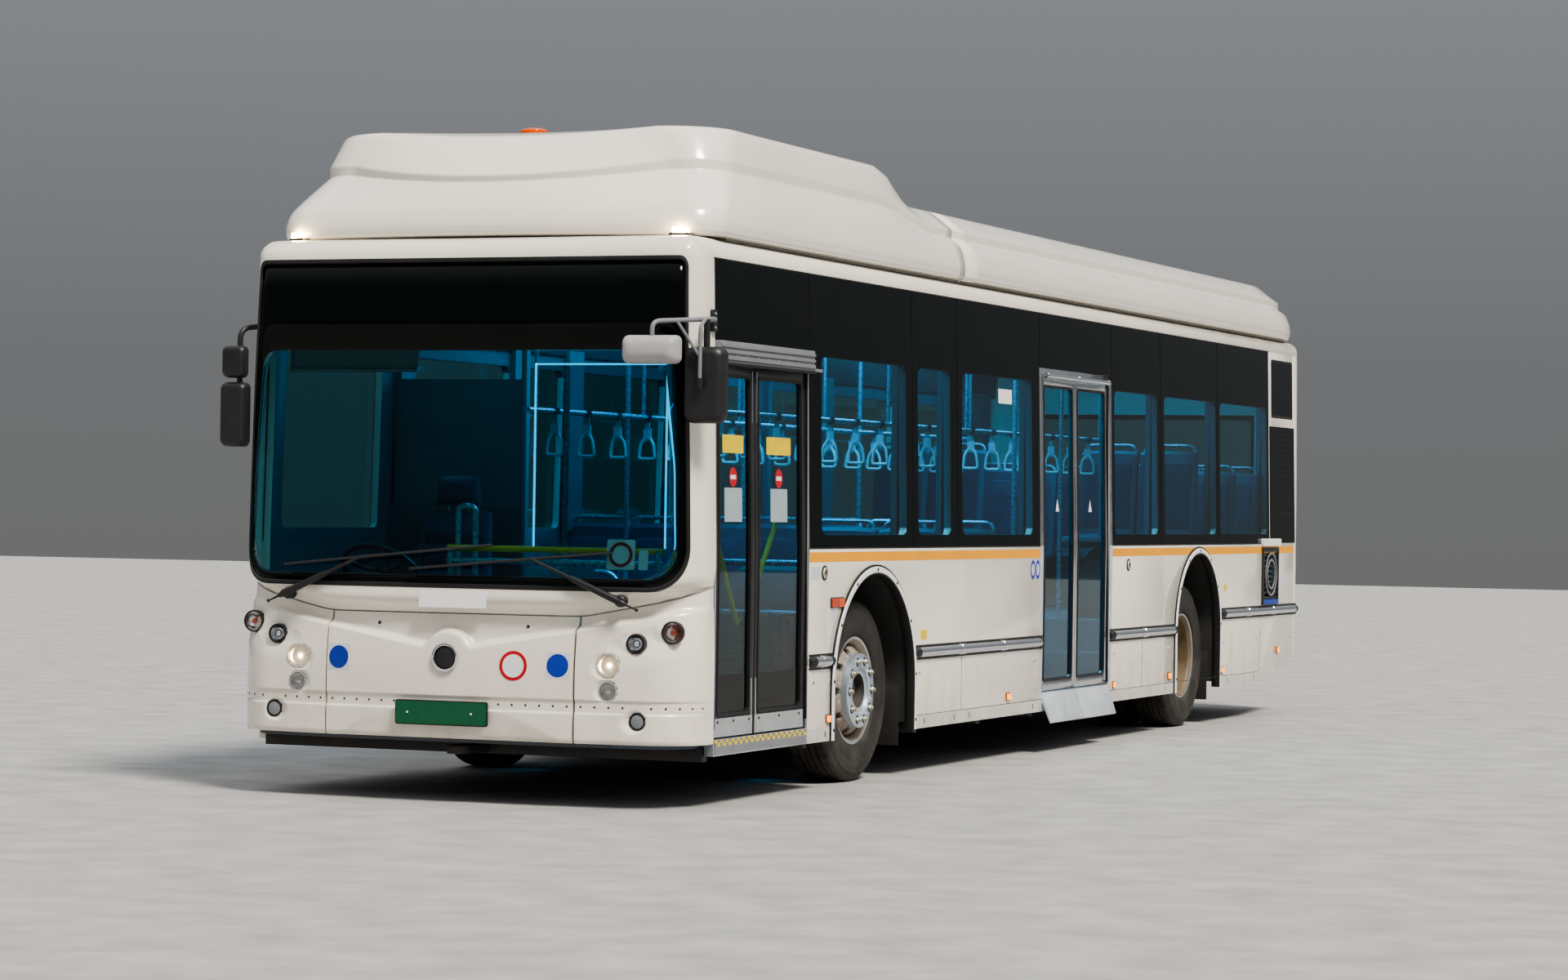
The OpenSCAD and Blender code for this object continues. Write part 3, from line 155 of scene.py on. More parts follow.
LOOKS = dict(
    paint=look((0.83, 0.775, 0.675), 0.22, tone=0.025, grain=1.5, spread=0.05, bump=0.02, fine=60, dirt=0.5,
               dirt_top=0.75, dirt_color=(0.42, 0.36, 0.28), Coat_Weight=0.6, Coat_Roughness=0.06),
    pod=look((0.84, 0.79, 0.7), 0.24, tone=0.03, grain=1.2, spread=0.05, bump=0.012, fine=40, Coat_Weight=0.7,
             Coat_Roughness=0.06),
    band=look((0.62, 0.6, 0.55), 0.4, tone=0.05, dirt=0.5, dirt_top=0.45, dirt_color=(0.25, 0.21, 0.17), bump=0.05),
    stripe=look((0.92, 0.38, 0.0), 0.22, tone=0.05, grain=3.0, bump=0.02),
    glass=look((0.26, 0.49, 0.53), 0.015, tone=0.02, spread=0.01, Transmission_Weight=1.0, IOR=1.27),
    frit=look((0.002, 0.003, 0.003), 0.04, tone=0.2, spread=0.02, bump=0.01, fine=8, IOR=1.28),
    seal=look((0.012, 0.012, 0.012), 0.5, tone=0.3, bump=0.2),
    tyre=look((0.022, 0.021, 0.02), 0.62, tone=0.25, grain=9.0, spread=0.1, bump=0.25, fine=400, dirt=0.35,
              dirt_top=1.2, dirt_color=(0.13, 0.11, 0.085)),
    aluminium=look((0.68, 0.7, 0.72), 0.2, 1.0, tone=0.05, grain=6.0, spread=0.06, bump=0.03, fine=90, dirt=0.2,
                   dirt_top=0.5),
    chrome=look((0.75, 0.76, 0.77), 0.1, 1.0, tone=0.05, spread=0.04),
    bowl=look((0.8, 0.81, 0.82), 0.16, 1.0, tone=0.05, bump=0.3, fine=120),
    zinc=look((0.6, 0.67, 0.72), 0.38, 0.8, tone=0.04, grain=5.0, spread=0.05, bump=0.0),
    brass=look((0.5, 0.41, 0.24), 0.35, 0.9, tone=0.2, grain=30.0, bump=0.1),
    dusty_wheel=look((0.17, 0.125, 0.075), 0.5, tone=0.25, grain=9.0, spread=0.1, bump=0.08, fine=140),
    plate=look((0.6, 0.64, 0.68), 0.42, 0.35, tone=0.12, grain=7.0, spread=0.1, bump=0.05),
    wheel=look((0.3, 0.255, 0.205), 0.5, tone=0.2, grain=12.0, spread=0.1, bump=0.15, fine=180, dirt=0.5,
               dirt_top=1.1, dirt_color=(0.16, 0.125, 0.09)),
    iron=look((0.045, 0.042, 0.04), 0.6, tone=0.3, grain=18.0, bump=0.4, fine=120, dirt=0.6, dirt_top=1.0,
              dirt_color=(0.12, 0.09, 0.065)),
    # Near-black: the chassis's own dark paint, made darker still as painted shade where it shows under the mask
    frame=look((0.014, 0.014, 0.015), 0.5, tone=0.25, bump=0.2, fine=90, dirt=0.25, dirt_top=0.9,
               dirt_color=(0.13, 0.1, 0.075)),
    liner=look((0.018, 0.018, 0.018), 0.75, tone=0.3, grain=10.0, bump=0.5, fine=140, dirt=0.2, dirt_top=1.2,
               dirt_color=(0.08, 0.065, 0.05)),
    plastic=look((0.016, 0.016, 0.017), 0.42, tone=0.2, bump=0.25, fine=320),
    grey_plastic=look((0.4, 0.39, 0.39), 0.45, tone=0.1, bump=0.2, fine=300),
    lining=look((0.075, 0.115, 0.14), 0.55, tone=0.06, bump=0.1, fine=150),
    vinyl=look((0.09, 0.1, 0.12), 0.6, tone=0.5, grain=160.0, bump=0.3, fine=500),
    shell=look((0.03, 0.07, 0.11), 0.4, tone=0.1, bump=0.15, fine=240),
    fabric=look((0.02, 0.045, 0.09), 0.85, tone=0.5, grain=60.0, bump=0.6, fine=700, Sheen_Weight=0.4),
    rail=look((0.3, 0.42, 0.5), 0.28, 0.6, tone=0.08, grain=20.0),
    yellow=look((0.78, 0.56, 0.02), 0.38, tone=0.08, grain=20.0, bump=0.05),
    red=look((0.5, 0.012, 0.02), 0.4, tone=0.08),
    blue=look((0.008, 0.035, 0.34), 0.4, tone=0.08),
    white=look((0.8, 0.8, 0.78), 0.4, tone=0.04),
    green=look((0.004, 0.095, 0.04), 0.35, tone=0.12, grain=30.0, bump=0.05),
    pale=look((0.34, 0.42, 0.44), 0.4, tone=0.08),
    case=look((0.2, 0.21, 0.22), 0.45, tone=0.08, bump=0.1),
    joint=look((0.3, 0.275, 0.24), 0.5, tone=0.2, grain=20.0),
    amber=look((0.7, 0.09, 0.0), 0.12, tone=0.1, bump=0.3, fine=160, Coat_Weight=0.5),
    ruby=look((0.45, 0.006, 0.008), 0.12, tone=0.1, bump=0.3, fine=160, Coat_Weight=0.5),
    lens=look((0.93, 0.94, 0.94), 0.03, tone=0.02, spread=0.01, bump=0.4, fine=90, Transmission_Weight=1.0, IOR=1.4),
    mirror=look((0.8, 0.82, 0.83), 0.02, 1.0, tone=0.02, spread=0.01),
    lit=look((1.0, 0.85, 0.6), 0.3, tone=0.02, Emission_Color=(1.0, 0.74, 0.42, 1), Emission_Strength=22.0),
    amber_lit=look((1.0, 0.42, 0.05), 0.3, tone=0.02, Emission_Color=(1.0, 0.26, 0.02, 1), Emission_Strength=1.2),
    tube_lit=look((0.6, 0.9, 1.0), 0.3, tone=0.02, Emission_Color=(0.25, 0.75, 1.0, 1), Emission_Strength=9.0),
    # Painted highlight: emissive cyan for the edges of a glass screen, which hold no lamp
    glow=look((0.2, 0.7, 0.9), 0.2, tone=0.02, Emission_Color=(0.05, 0.6, 1.0, 1), Emission_Strength=1.6),
    label=look((0.62, 0.62, 0.68), 0.4, tone=0.04),
    ember=look((0.45, 0.05, 0.01), 0.15, tone=0.1, bump=0.3, fine=160, Coat_Weight=0.5),
)
M = {name: material(name, *values, **more) for name, (values, more) in LOOKS.items()}


# Shapes: each is a list of points and a list of faces
def unit(v):
    return v / max(np.linalg.norm(v), 1e-9)


def turns(n):
    """Angles of n even steps round a circle."""
    return [2 * math.pi * i / n for i in range(n)]


def block(x0, x1, y0, y1, z0, z1):
    verts = [(x, y, z) for z in (z0, z1) for y in (y0, y1) for x in (x0, x1)]
    return verts, [(0, 2, 3, 1), (4, 5, 7, 6), (0, 1, 5, 4), (2, 6, 7, 3), (0, 4, 6, 2), (1, 3, 7, 5)]


def loft(rings, closed=True, caps=True):
    """Joins rings that have the same number of points."""
    n = len(rings[0])
    verts = [tuple(p) for r in rings for p in r]
    faces = []
    for i in range(len(rings) - 1):
        for j in range(n if closed else n - 1):
            k = (j + 1) % n
            faces.append((i * n + j, i * n + k, (i + 1) * n + k, (i + 1) * n + j))
    if caps and closed:
        faces.append(tuple(reversed(range(n))))
        faces.append(tuple(range((len(rings) - 1) * n, len(rings) * n)))
    return verts, faces


def sheet(rows):
    """An open surface through rows of points."""
    return loft(rows, closed=False)


def hoop(rings):
    """Joins rings into a tube whose last ring meets the first."""
    n = len(rings) * len(rings[0])
    verts, faces = loft(rings + [rings[0]], caps=False)
    return verts[:n], [tuple(i % n for i in f) for f in faces]


def lathe(profile, n=48, centre=(0, 0, 0), axis=(0, 0, 1), closed=False):
    """Turns (radius, height) rows about an axis; a closed profile makes a ring."""
    w = unit(np.array(axis, float))
    u = unit(np.cross(w, (0, 0, 1) if abs(w[2]) < 0.9 else (0, 1, 0)))
    v = np.cross(w, u)
    rows = list(profile) + ([profile[0]] if closed else [])
    verts, faces, starts = [], [], []
    for r, h in rows:
        starts.append(len(verts))
        base = np.array(centre, float) + w * h
        verts += [tuple(base + r * (math.cos(a) * u + math.sin(a) * v)) for a in (turns(n) if r > 1e-6 else [0.0])]
    for (r, _), (s, _), a, b in zip(rows, rows[1:], starts, starts[1:]):
        for j in range(n):
            k = (j + 1) % n
            if r > 1e-6 and s > 1e-6:
                faces.append((a + j, a + k, b + k, b + j))
            elif r > 1e-6:
                faces.append((a + j, a + k, b))
            elif s > 1e-6:
                faces.append((a, b + k, b + j))
    return verts, faces


def disc(centre, axis, r, h, n=40, edge=0.0):
    """A closed disc or short rod, with a rounded outer edge where edge is given."""
    rows = [(0, 0), (r, 0), (r, h - edge)]
    rows += [(r - edge * (1 - math.cos(a)), h - edge * (1 - math.sin(a))) for a in (0.5, 1.0)] if edge else []
    return lathe(rows + [(r - edge, h), (0, h)], n, centre, axis)


def tube(points, r, n=12):
    """A round tube along points; r may be a list."""
    pts = [np.array(p, float) for p in points]
    radii = r if isinstance(r, (list, tuple)) else [r] * len(pts)
    rings, side = [], None
    for i, p in enumerate(pts):
        along = unit(pts[min(i + 1, len(pts) - 1)] - pts[max(i - 1, 0)])
        if side is None:
            side = unit(np.cross(along, (0, 0, 1) if abs(along[2]) < 0.9 else (1, 0, 0)))
        side = unit(side - along * np.dot(side, along))
        up = np.cross(along, side)
        rings.append([p + radii[i] * (math.cos(a) * side + math.sin(a) * up) for a in turns(n)])
    return loft(rings)


def bent(points, r=0.05, steps=5, share=0.5):
    """A path with rounded inner corners; r may be a list, and a corner takes at most a share of a run."""
    pts = [np.array(p, float) for p in points]
    radii = r if isinstance(r, list) else [r] * len(pts)
    out = [pts[0]]
    for a, b, c, most in zip(pts, pts[1:], pts[2:], radii):
        d = min(most, np.linalg.norm(a - b) * share, np.linalg.norm(c - b) * share)
        s, e = b + unit(a - b) * d, b + unit(c - b) * d
        out += [(1 - t) ** 2 * s + 2 * t * (1 - t) * b + t * t * e for t in (i / steps for i in range(steps + 1))]
    return out + [pts[-1]]


def outline(rows, arc=6, cuts=None):
    """Closed outline through (a, b, radius) rows, its straight runs cut as often as cuts says."""
    n = len(rows)
    groups = []
    for i in range(n):
        p, q, s = (np.array(rows[k % n][:2], float) for k in (i - 1, i, i + 1))
        r = max(rows[i][2], 1e-4)
        a, b = unit(p - q), unit(s - q)
        half = math.acos(max(-1.0, min(1.0, float(a @ b)))) / 2
        if half > 1.53:
            groups.append([q.copy()])
            continue
        c = q + unit(a + b) * r / math.sin(half)
        start, end = q + a * r / math.tan(half) - c, q + b * r / math.tan(half) - c
        turn = math.atan2(start[0] * end[1] - start[1] * end[0], start @ end)
        a0 = math.atan2(start[1], start[0])
        groups.append([c + r * np.array([math.cos(a0 + turn * k / arc), math.sin(a0 + turn * k / arc)])
                       for k in range(arc + 1)])
    pts = []
    for i in range(n):
        pts += groups[i]
        m = cuts[i] if cuts else 0
        a, b = groups[i][-1], groups[(i + 1) % n][0]
        pts += [a + (b - a) * k / (m + 1) for k in range(1, m + 1)]
    return pts


def rect(a0, a1, b0, b1, r, **kw):
    return outline([(a0, b0, r), (a1, b0, r), (a1, b1, r), (a0, b1, r)], **kw)


def square(w, h, r=0.004):
    """A rectangle about the origin."""
    return [tuple(q) for q in rect(-w / 2, w / 2, -h / 2, h / 2, r, arc=3)]


def circle(r, n=36, tall=1.0):
    return [(r * math.cos(a), r * tall * math.sin(a)) for a in turns(n)]


def prism(points, to3d, h0, h1):
    """An outline carried from height h0 to h1 by to3d(a, b, h)."""
    return loft([[to3d(a, b, h) for a, b in points] for h in (h0, h1)])


def ring_prism(outer, inner, to3d, h0, h1):
    """A frame between two outlines with the same number of points."""
    return hoop([[to3d(a, b, h) for a, b in pts] for pts, h in ((outer, h0), (outer, h1), (inner, h1), (inner, h0))])


def turned(shape, matrix):
    return [tuple(matrix @ Vector(v)) for v in shape[0]], shape[1]


def on_wall(side, s=0.0, z=0.0):
    """Places (a, b, height) on the upright part of a side, round station s and height z."""
    return lambda a, b, h: (side * (HALF_W + h), s + a, z + b)


def on_side(side, s=0.0, z=0.0, sink=0.0):
    """The same on the whole side, which leans above the waist, sunk by a depth."""
    return lambda a, b, h: (side * (side_x(z + b) - sink + h), s + a, z + b)


class Piece:
    """Collects shapes, each with a material, into one object."""

    def __init__(self, name, body="coach_body"):
        self.name, self.body = name, body
        self.verts, self.faces, self.mats, self.names = [], [], [], []

    def add(self, shape, mat):
        base = len(self.verts)
        verts, faces = shape
        self.verts += [tuple(float(c) for c in v) for v in verts]
        self.faces += [tuple(base + i for i in f) for f in faces]
        if mat not in self.names:
            self.names.append(mat)
        self.mats += [self.names.index(mat)] * len(faces)

    def slab(self, mat, to3d, a0, a1, b0, b1, h0, h1, r=0.0, arc=3):
        """A rectangle carried from height h0 to h1, with rounded corners where r is given."""
        corners = rect(a0, a1, b0, b1, r, arc=arc) if r else [(a0, b0), (a1, b0), (a1, b1), (a0, b1)]
        self.add(prism(corners, to3d, h0, h1), mat)

    def plate(self, mat, to3d, w, h, r, h0, h1):
        """A rounded rectangle about the origin of to3d."""
        self.add(prism(square(w, h, r), to3d, h0, h1), mat)

    def done(self, slot, replaces=(), bevel=0.0, segments=2, smooth=35.0, solid=0.0, fix=True):
        """Makes the object, gives it its body and replaced nodes, and returns it; the slot is not used."""
        mesh = bpy.data.meshes.new(self.name)
        mesh.from_pydata([(x, y - ORIGIN, z) for x, y, z in self.verts], [], self.faces)
        for name in self.names:
            mesh.materials.append(M[name])
        mesh.polygons.foreach_set("material_index", self.mats)
        mesh.validate()
        if fix:
            bm = bmesh.new()
            bm.from_mesh(mesh)
            bmesh.ops.recalc_face_normals(bm, faces=bm.faces)
            bm.to_mesh(mesh)
            bm.free()
        o = placed(self.name, mesh)
        if solid:
            modify(o, "shell", "SOLIDIFY", thickness=solid, offset=-1, use_even_offset=True)
        if bevel:
            round_edges(o, bevel, segments)
        shade(o, smooth)
        if bevel:
            modify(o, "normals", "WEIGHTED_NORMAL", keep_sharp=True)
        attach(o, self.body)
        if replaces:
            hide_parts(*replaces)
        return o


def placed(name, data):
    """Puts a mesh, lamp or camera into the scene."""
    o = bpy.data.objects.new(name, data)
    bpy.context.scene.collection.objects.link(o)
    return o


def modify(o, name, kind, **settings):
    m = o.modifiers.new(name, kind)
    for key, v in settings.items():
        setattr(m, key, v)


def round_edges(o, width, segments=2):
    modify(o, "bevel", "BEVEL", width=width, segments=segments, limit_method="ANGLE", angle_limit=math.radians(32))


def shade(o, smooth):
    """Shading that is smooth up to an angle."""
    o.data.shade_smooth()
    o.data.set_sharp_from_angle(angle=math.radians(smooth))


def dress(name, mat, bevel=0.0, smooth=35.0):
    """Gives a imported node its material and, where asked, rounded edges."""
    o = nodes[name]
    o.data.materials.clear()
    o.data.materials.append(M[mat])
    if bevel:
        modify(o, "weld", "WELD", merge_threshold=0.0002)
        modify(o, "flat", "DECIMATE", decimate_type="DISSOLVE", angle_limit=math.radians(0.5))
        round_edges(o, bevel)
    shade(o, smooth)


# The front's surface
def plan_point(a, push=0.0):
    """Point of the plan at arc length a from the middle, push metres inside the skin."""
    s, a = (1 if a >= 0 else -1), abs(a)
    if a <= ARC_LEN:
        t = a / FRONT_R
        x, y = (FRONT_R - push) * math.sin(t), ARC_Y - (FRONT_R - push) * math.cos(t)
    elif a <= ARC_LEN + CORNER_LEN:
        t = TURN + (a - ARC_LEN) / CORNER_R
        x, y = CORNER_X + (CORNER_R - push) * math.sin(t), CORNER_Y - (CORNER_R - push) * math.cos(t)
    else:
        x, y = HALF_W - push, CORNER_Y + a - ARC_LEN - CORNER_LEN
    return s * x, y


def arc_of(x):
    """Arc length of the plan at a distance from the middle."""
    s, x = (1 if x >= 0 else -1), abs(x)
    if x <= FRONT_R * math.sin(TURN):
        return s * FRONT_R * math.asin(x / FRONT_R)
    return s * (ARC_LEN + CORNER_R * (math.asin(min(1.0, (x - CORNER_X) / CORNER_R)) - TURN))


def smooth_max(a, b, w):
    """The larger of two values, rounded over w where they cross."""
    if w <= 0:
        return max(a, b)
    h = max(w - abs(a - b), 0) / w
    return max(a, b) + h * h * w / 4


def soft_step(v, w):
    """Rises from nothing to v, rounded over w."""
    return smooth_max(0.0, v, w)


def ease(t):
    """Runs smoothly from 0 to 1."""
    t = max(0.0, min(1.0, t))
    return t * t * (3 - 2 * t)


# Height and station of the front's middle line, and the radius of the roof's edge
SIDE_Z = [0.3, 0.325, 0.505, 0.951, 1.085, BAND_Z, ROOF_Z]
SIDE_Y = [-0.292, -0.297, -0.325, -0.325, -0.307, -0.15, -0.13]
EDGE_R = 0.085


def front_point(a, z, push=0.0):
    """Skin of the front at arc length a and height z; above the roof's edge z runs rearwards."""
    over = max(0.0, z - ROOF_Z)
    z = min(z, ROOF_Z)
    rise = max(0.0, z - (ROOF_Z - EDGE_R))
    inset = EDGE_R - math.sqrt(max(EDGE_R ** 2 - rise ** 2, 0.0))
    x, y = plan_point(a, inset + push)
    flat = float(np.interp(z, SIDE_Z, SIDE_Y)) + inset + push
    w = float(np.interp(z, [0.97, 1.3], [0.0, 0.1]))
    y = smooth_max(y, flat, w)
    t = min(1.0, over / 0.2)
    return x * side_x(z) / HALF_W, y + (PILLAR_Y - y) * t, z - push * (rise > EDGE_R * 0.99)


def both_sides(half):
    """Closed outline rows from the right half, listed from bottom to top."""
    return half + [(-a, z, r) for a, z, r in reversed(half)]


# Heights of the seam under the windscreen and of a row halfway up, then the outlines of the glass
SEAM_Z, MID_Z = 0.961, 1.7
OPENING = both_sides([(1.0, 1.085, 0.0), (1.297, 1.085, 0.22), (1.297, MID_Z, 0.0), (1.286, BAND_Z, 0.06)])
CLEAR_Z, CLEAR_A, CLEAR_R = (1.15, 2.29), (1.238, 1.2), (0.17, 0.09)
CLEAR = both_sides([(0.98, CLEAR_Z[0], 0.0), (CLEAR_A[0], CLEAR_Z[0], CLEAR_R[0]), (CLEAR_A[0], MID_Z, 0.0),
                    (CLEAR_A[1], CLEAR_Z[1], CLEAR_R[1])])


def screen_ring(rows):
    """An outline whose straight runs are cut, so that rings of it can be joined."""
    return outline(rows, arc=8, cuts=[3, 6, 12, 40, 12, 6, 3, 40])


def seam_z(a):
    """Height of the seam between mask and frame: it rises towards the pillars."""
    return SEAM_Z + 0.2 * soft_step(abs(a) - 0.72, 0.06)


def frame_point(a, z):
    """Skin of the surround: near the seam it takes over the lean of the mask below it."""
    x, y, h = front_point(a, z)
    low = seam_z(a)
    fade = max(0.0, min(1.0, (low + 0.066 - z) / 0.066))
    return shifted(a, x, y, h, mask_push(x, low, low) * fade) if fade else (x, y, h)


def front_frame():
    """Painted surround of the windscreen, as rings from its opening to its outer edge."""
    inner = screen_ring(OPENING)
    far = both_sides([(0.95, SEAM_Z, 0.0)] + [(SIDE_END, z, 0.0) for z in (SEAM_Z, MID_Z, ROOF_Z + 0.2)])
    far = [np.array((a, max(z, seam_z(a) + (z - SEAM_Z) * (MID_Z - seam_z(a)) / (MID_Z - SEAM_Z))))
           for a, z in screen_ring(far)]
    rings = [[frame_point(*(p + (q - p) * t)) for p, q in zip(inner, far)]
             for t in (0.0, 0.04, 0.12, 0.25, 0.4, 0.55, 0.7, 0.85, 0.95, 1.0)]
    p = Piece("front_frame_skin")
    p.add(loft([[front_point(a, z, 0.03) for a, z in inner]] + rings, caps=False), "paint")
    seam = [frame_point(a, seam_z(a)) for a in np.linspace(-SIDE_END, SIDE_END, 61)]
    p.add(tube([(x, s + 0.006, z) for x, s, z in seam], 0.0055, 6), "joint")
    # The seal round the glass
    bead = []
    for grow, push in ((0.0, 0.002), (-0.004, -0.004), (-0.018, -0.005), (-0.024, 0.002)):
        rows = screen_ring([(a + (grow if a > 0 else -grow), z + (-grow if z < 1.2 else grow), max(r + grow, 0))
                            for a, z, r in OPENING])
        bead.append([front_point(a, z, push) for a, z in rows])
    p.add(loft(bead, caps=False), "seal")
    p.done("body_paint", ["front_frame"], smooth=40, fix=False)


def clear_width(z):
    """Half the width of the clear glass at a height."""
    a = float(np.interp(z, [MID_Z, CLEAR_Z[1]], CLEAR_A))
    for over, r in ((CLEAR_Z[0] + CLEAR_R[0] - z, CLEAR_R[0]), (z - CLEAR_Z[1] + CLEAR_R[1], CLEAR_R[1])):
        if over > 0:
            a -= r - math.sqrt(max(r * r - over * over, 0.0))
    return a + 0.001


def windscreen():
    """Curved glass with its black border and the black band over the driver's view."""
    pairs = list(zip(screen_ring(OPENING), screen_ring(CLEAR)))
    p = Piece("windscreen_border")
    p.add(loft([[front_point(*(a + (b - a) * t), 0.004) for a, b in pairs] for t in (0.0, 0.3, 0.65, 1.0)],
               caps=False), "frit")
    p.done("glass", ["windscreen"], smooth=50, solid=0.006, fix=False)
    mid, reach = sum(CLEAR_Z) / 2, (CLEAR_Z[1] - CLEAR_Z[0]) / 2
    levels = [mid - reach * math.cos(math.pi * i / 36) for i in range(37)]
    p = Piece("windscreen_clear")
    p.add(sheet([[front_point(u * clear_width(z), z, 0.0042) for u in np.linspace(-1, 1, 49)] for z in levels]),
          "glass")
    p.done("glass", ["windscreen"], smooth=60, solid=0.006, fix=False)


# Lamp columns: x, station of the lens, height, lens radius
LAMPS = [(1.186, -0.204, 0.888, 0.05), (1.013, -0.258, 0.829, 0.044), (0.874, -0.28, 0.719, 0.056),
         (0.876, -0.28, 0.591, 0.044), (1.026, -0.254, 0.444, 0.038)]
LAMP_SINK = 0.012
CREASE_Z, CREASE_RISE = 0.778, 0.175
SHELF_DEPTH, SHELF_H, LEAN_ABOVE, LEAN_BELOW = 0.05, 0.036, 0.12, 0.1
STRIP_LOW, STRIP_HIGH, STRIP_DEPTH = 0.478, 0.541, 0.008
# Middle and radius of the crease's hump round the boss
HUMP = (0.736, 0.142)
# Lowest and highest row of the mask, the height up to which rows run level, and the turned edge
MASK_Z, LEVEL_Z, TURN_IN = (0.327, 0.954), 0.58, 0.03
RIVET, RIVET_Z, RIVET_PITCH = [(0.0, 0.003), (0.003, 0.0025), (0.0065, 0.0)], 0.51, 0.0735
AHEAD = (0, -1, 0)


def crease_z(x):
    """Height of the crease, which rises outwards and runs over the boss in a hump."""
    x = abs(x)
    hump = HUMP[0] + math.sqrt(max(HUMP[1] ** 2 - x * x, 0.0)) if x < HUMP[1] else 0.0
    return smooth_max(CREASE_Z + CREASE_RISE * x, hump, 0.02)


def mask_push(x, z, top):
    """Depth of the mask's face behind the plain surface, below a seam at height top."""
    ax = abs(x)
    line = min(crease_z(x), top - 0.024)
    # The crease is a shelf that steps back, with a leaning face above and below it
    share = 1 - 0.35 * ease((ax - 0.85) / 0.3)
    push = SHELF_DEPTH * share * ease((z - line) / SHELF_H + 0.5)
    push += LEAN_ABOVE * soft_step(z - line, 0.02) + LEAN_BELOW * soft_step(min(z, line) - 0.7, 0.08)
    # A second, lower crease runs out over the corners
    low = 0.715 + 0.22 * (ax - 1.0)
    if ax > 0.86:
        push += 0.16 * soft_step(min(z, line) - low, 0.02) * ease((ax - 0.86) / 0.2)
    # A shallow strip for the row of rivets, and a lower edge that is rolled in
    push += STRIP_DEPTH * ease(min(z - STRIP_LOW, STRIP_HIGH - z) / 0.008 + 0.5)
    return push + 0.45 * max(0.0, 0.352 - z) ** 2 / 0.027


def shifted(a, x, y, z, depth):
    """Moves a point of the front inwards, at the corner sideways as well."""
    t = max(0.0, min(1.0, (abs(a) - ARC_LEN * 1.04) / (CORNER_LEN * 0.9)))
    s = 1 if x > 0 else -1
    return x - s * depth * math.sin(t * math.pi / 2) * 0.5 * (1 - t * 0.8), y + depth * math.cos(t * math.pi / 2), z


def mask_point(a, z, push=0.0):
    """Skin of the mask with its crease, strip and lamp recesses."""
    x, y, z = front_point(a, z, push)
    depth = mask_push(x, z, seam_z(a))
    for i, (lx, ly, lz, r) in enumerate(LAMPS):
        dx = abs(x) - lx
        d = math.hypot(dx, z - lz)
        if d > 5 * r:
            continue
        # The recess runs out towards the middle
        wide = math.hypot(dx * ((0.55 if i < 2 else 0.9) if dx < 0 else 1.0), z - lz)
        plane = ly + LAMP_SINK - (0.6 if i < 2 else 0.8) * max(0.0, wide - r - 0.008) + push
        if plane > y + depth:
            depth = smooth_max(depth, plane - y, 0.008)
        if d < r + 0.004:
            depth = max(depth, ly + LAMP_SINK + push + 0.03 - y)
    return shifted(a, x, y, z, depth)


def mask_panel(name, body, a0, a1, step, node):
    """One panel of the mask, with its edges turned in."""
    us = np.linspace(a0, a1, max(2, int(round((a1 - a0) / step)) + 1))
    marks = [z + d for z in (STRIP_LOW, STRIP_HIGH) for d in (-0.004, 0.0, 0.004)]
    levels = sorted([z for z in np.linspace(*MASK_Z, 94) if min(abs(z - m) for m in marks) > 0.003] + marks)

    def height(a, z):
        """Rows run level up to the strip and spread above it to reach the rising seam."""
        return z + max(0.0, z - LEVEL_Z) * (seam_z(a) - SEAM_Z) / (MASK_Z[1] - LEVEL_Z)

    def row(t, push=0.0):
        return [mask_point(a, height(a, t), push) for a in us]

    p = Piece(name, body)
    p.add(sheet([row(levels[0], TURN_IN)] + [row(t) for t in levels] + [row(levels[-1], TURN_IN)]), "paint")
    for a in (a0, a1):
        p.add(sheet([[mask_point(a, height(a, t), push) for t in levels] for push in (0.0, TURN_IN)]), "paint")
    p.done("body_paint", [node], smooth=50, fix=False)


def decal(p, fn, a, z, shapes):
    """Flat shapes of (outer outline, inner outline, material, height) laid on the front's surface."""
    def to3d(u, v, k):
        return fn(a + u, z + v, -k)
    for out, inn, mat, h in shapes:
        if inn is not None:
            p.add(ring_prism(out, inn, to3d, 0.0, h), mat)
            continue
        n = len(out)
        c = [sum(q[i] for q in out) / n for i in (0, 1)]
        rings = [[to3d(c[0] + (u - c[0]) * t, c[1] + (v - c[1]) * t, h) for u, v in out] for t in (1.0, 0.66, 0.33)]
        verts, faces = loft([[to3d(u, v, 0.0) for u, v in out]] + rings, caps=False)
        top = len(verts)
        faces += [(top - n + j, top - n + (j + 1) % n, top) for j in range(n)]
        p.add((verts + [to3d(*c, h)], faces), mat)


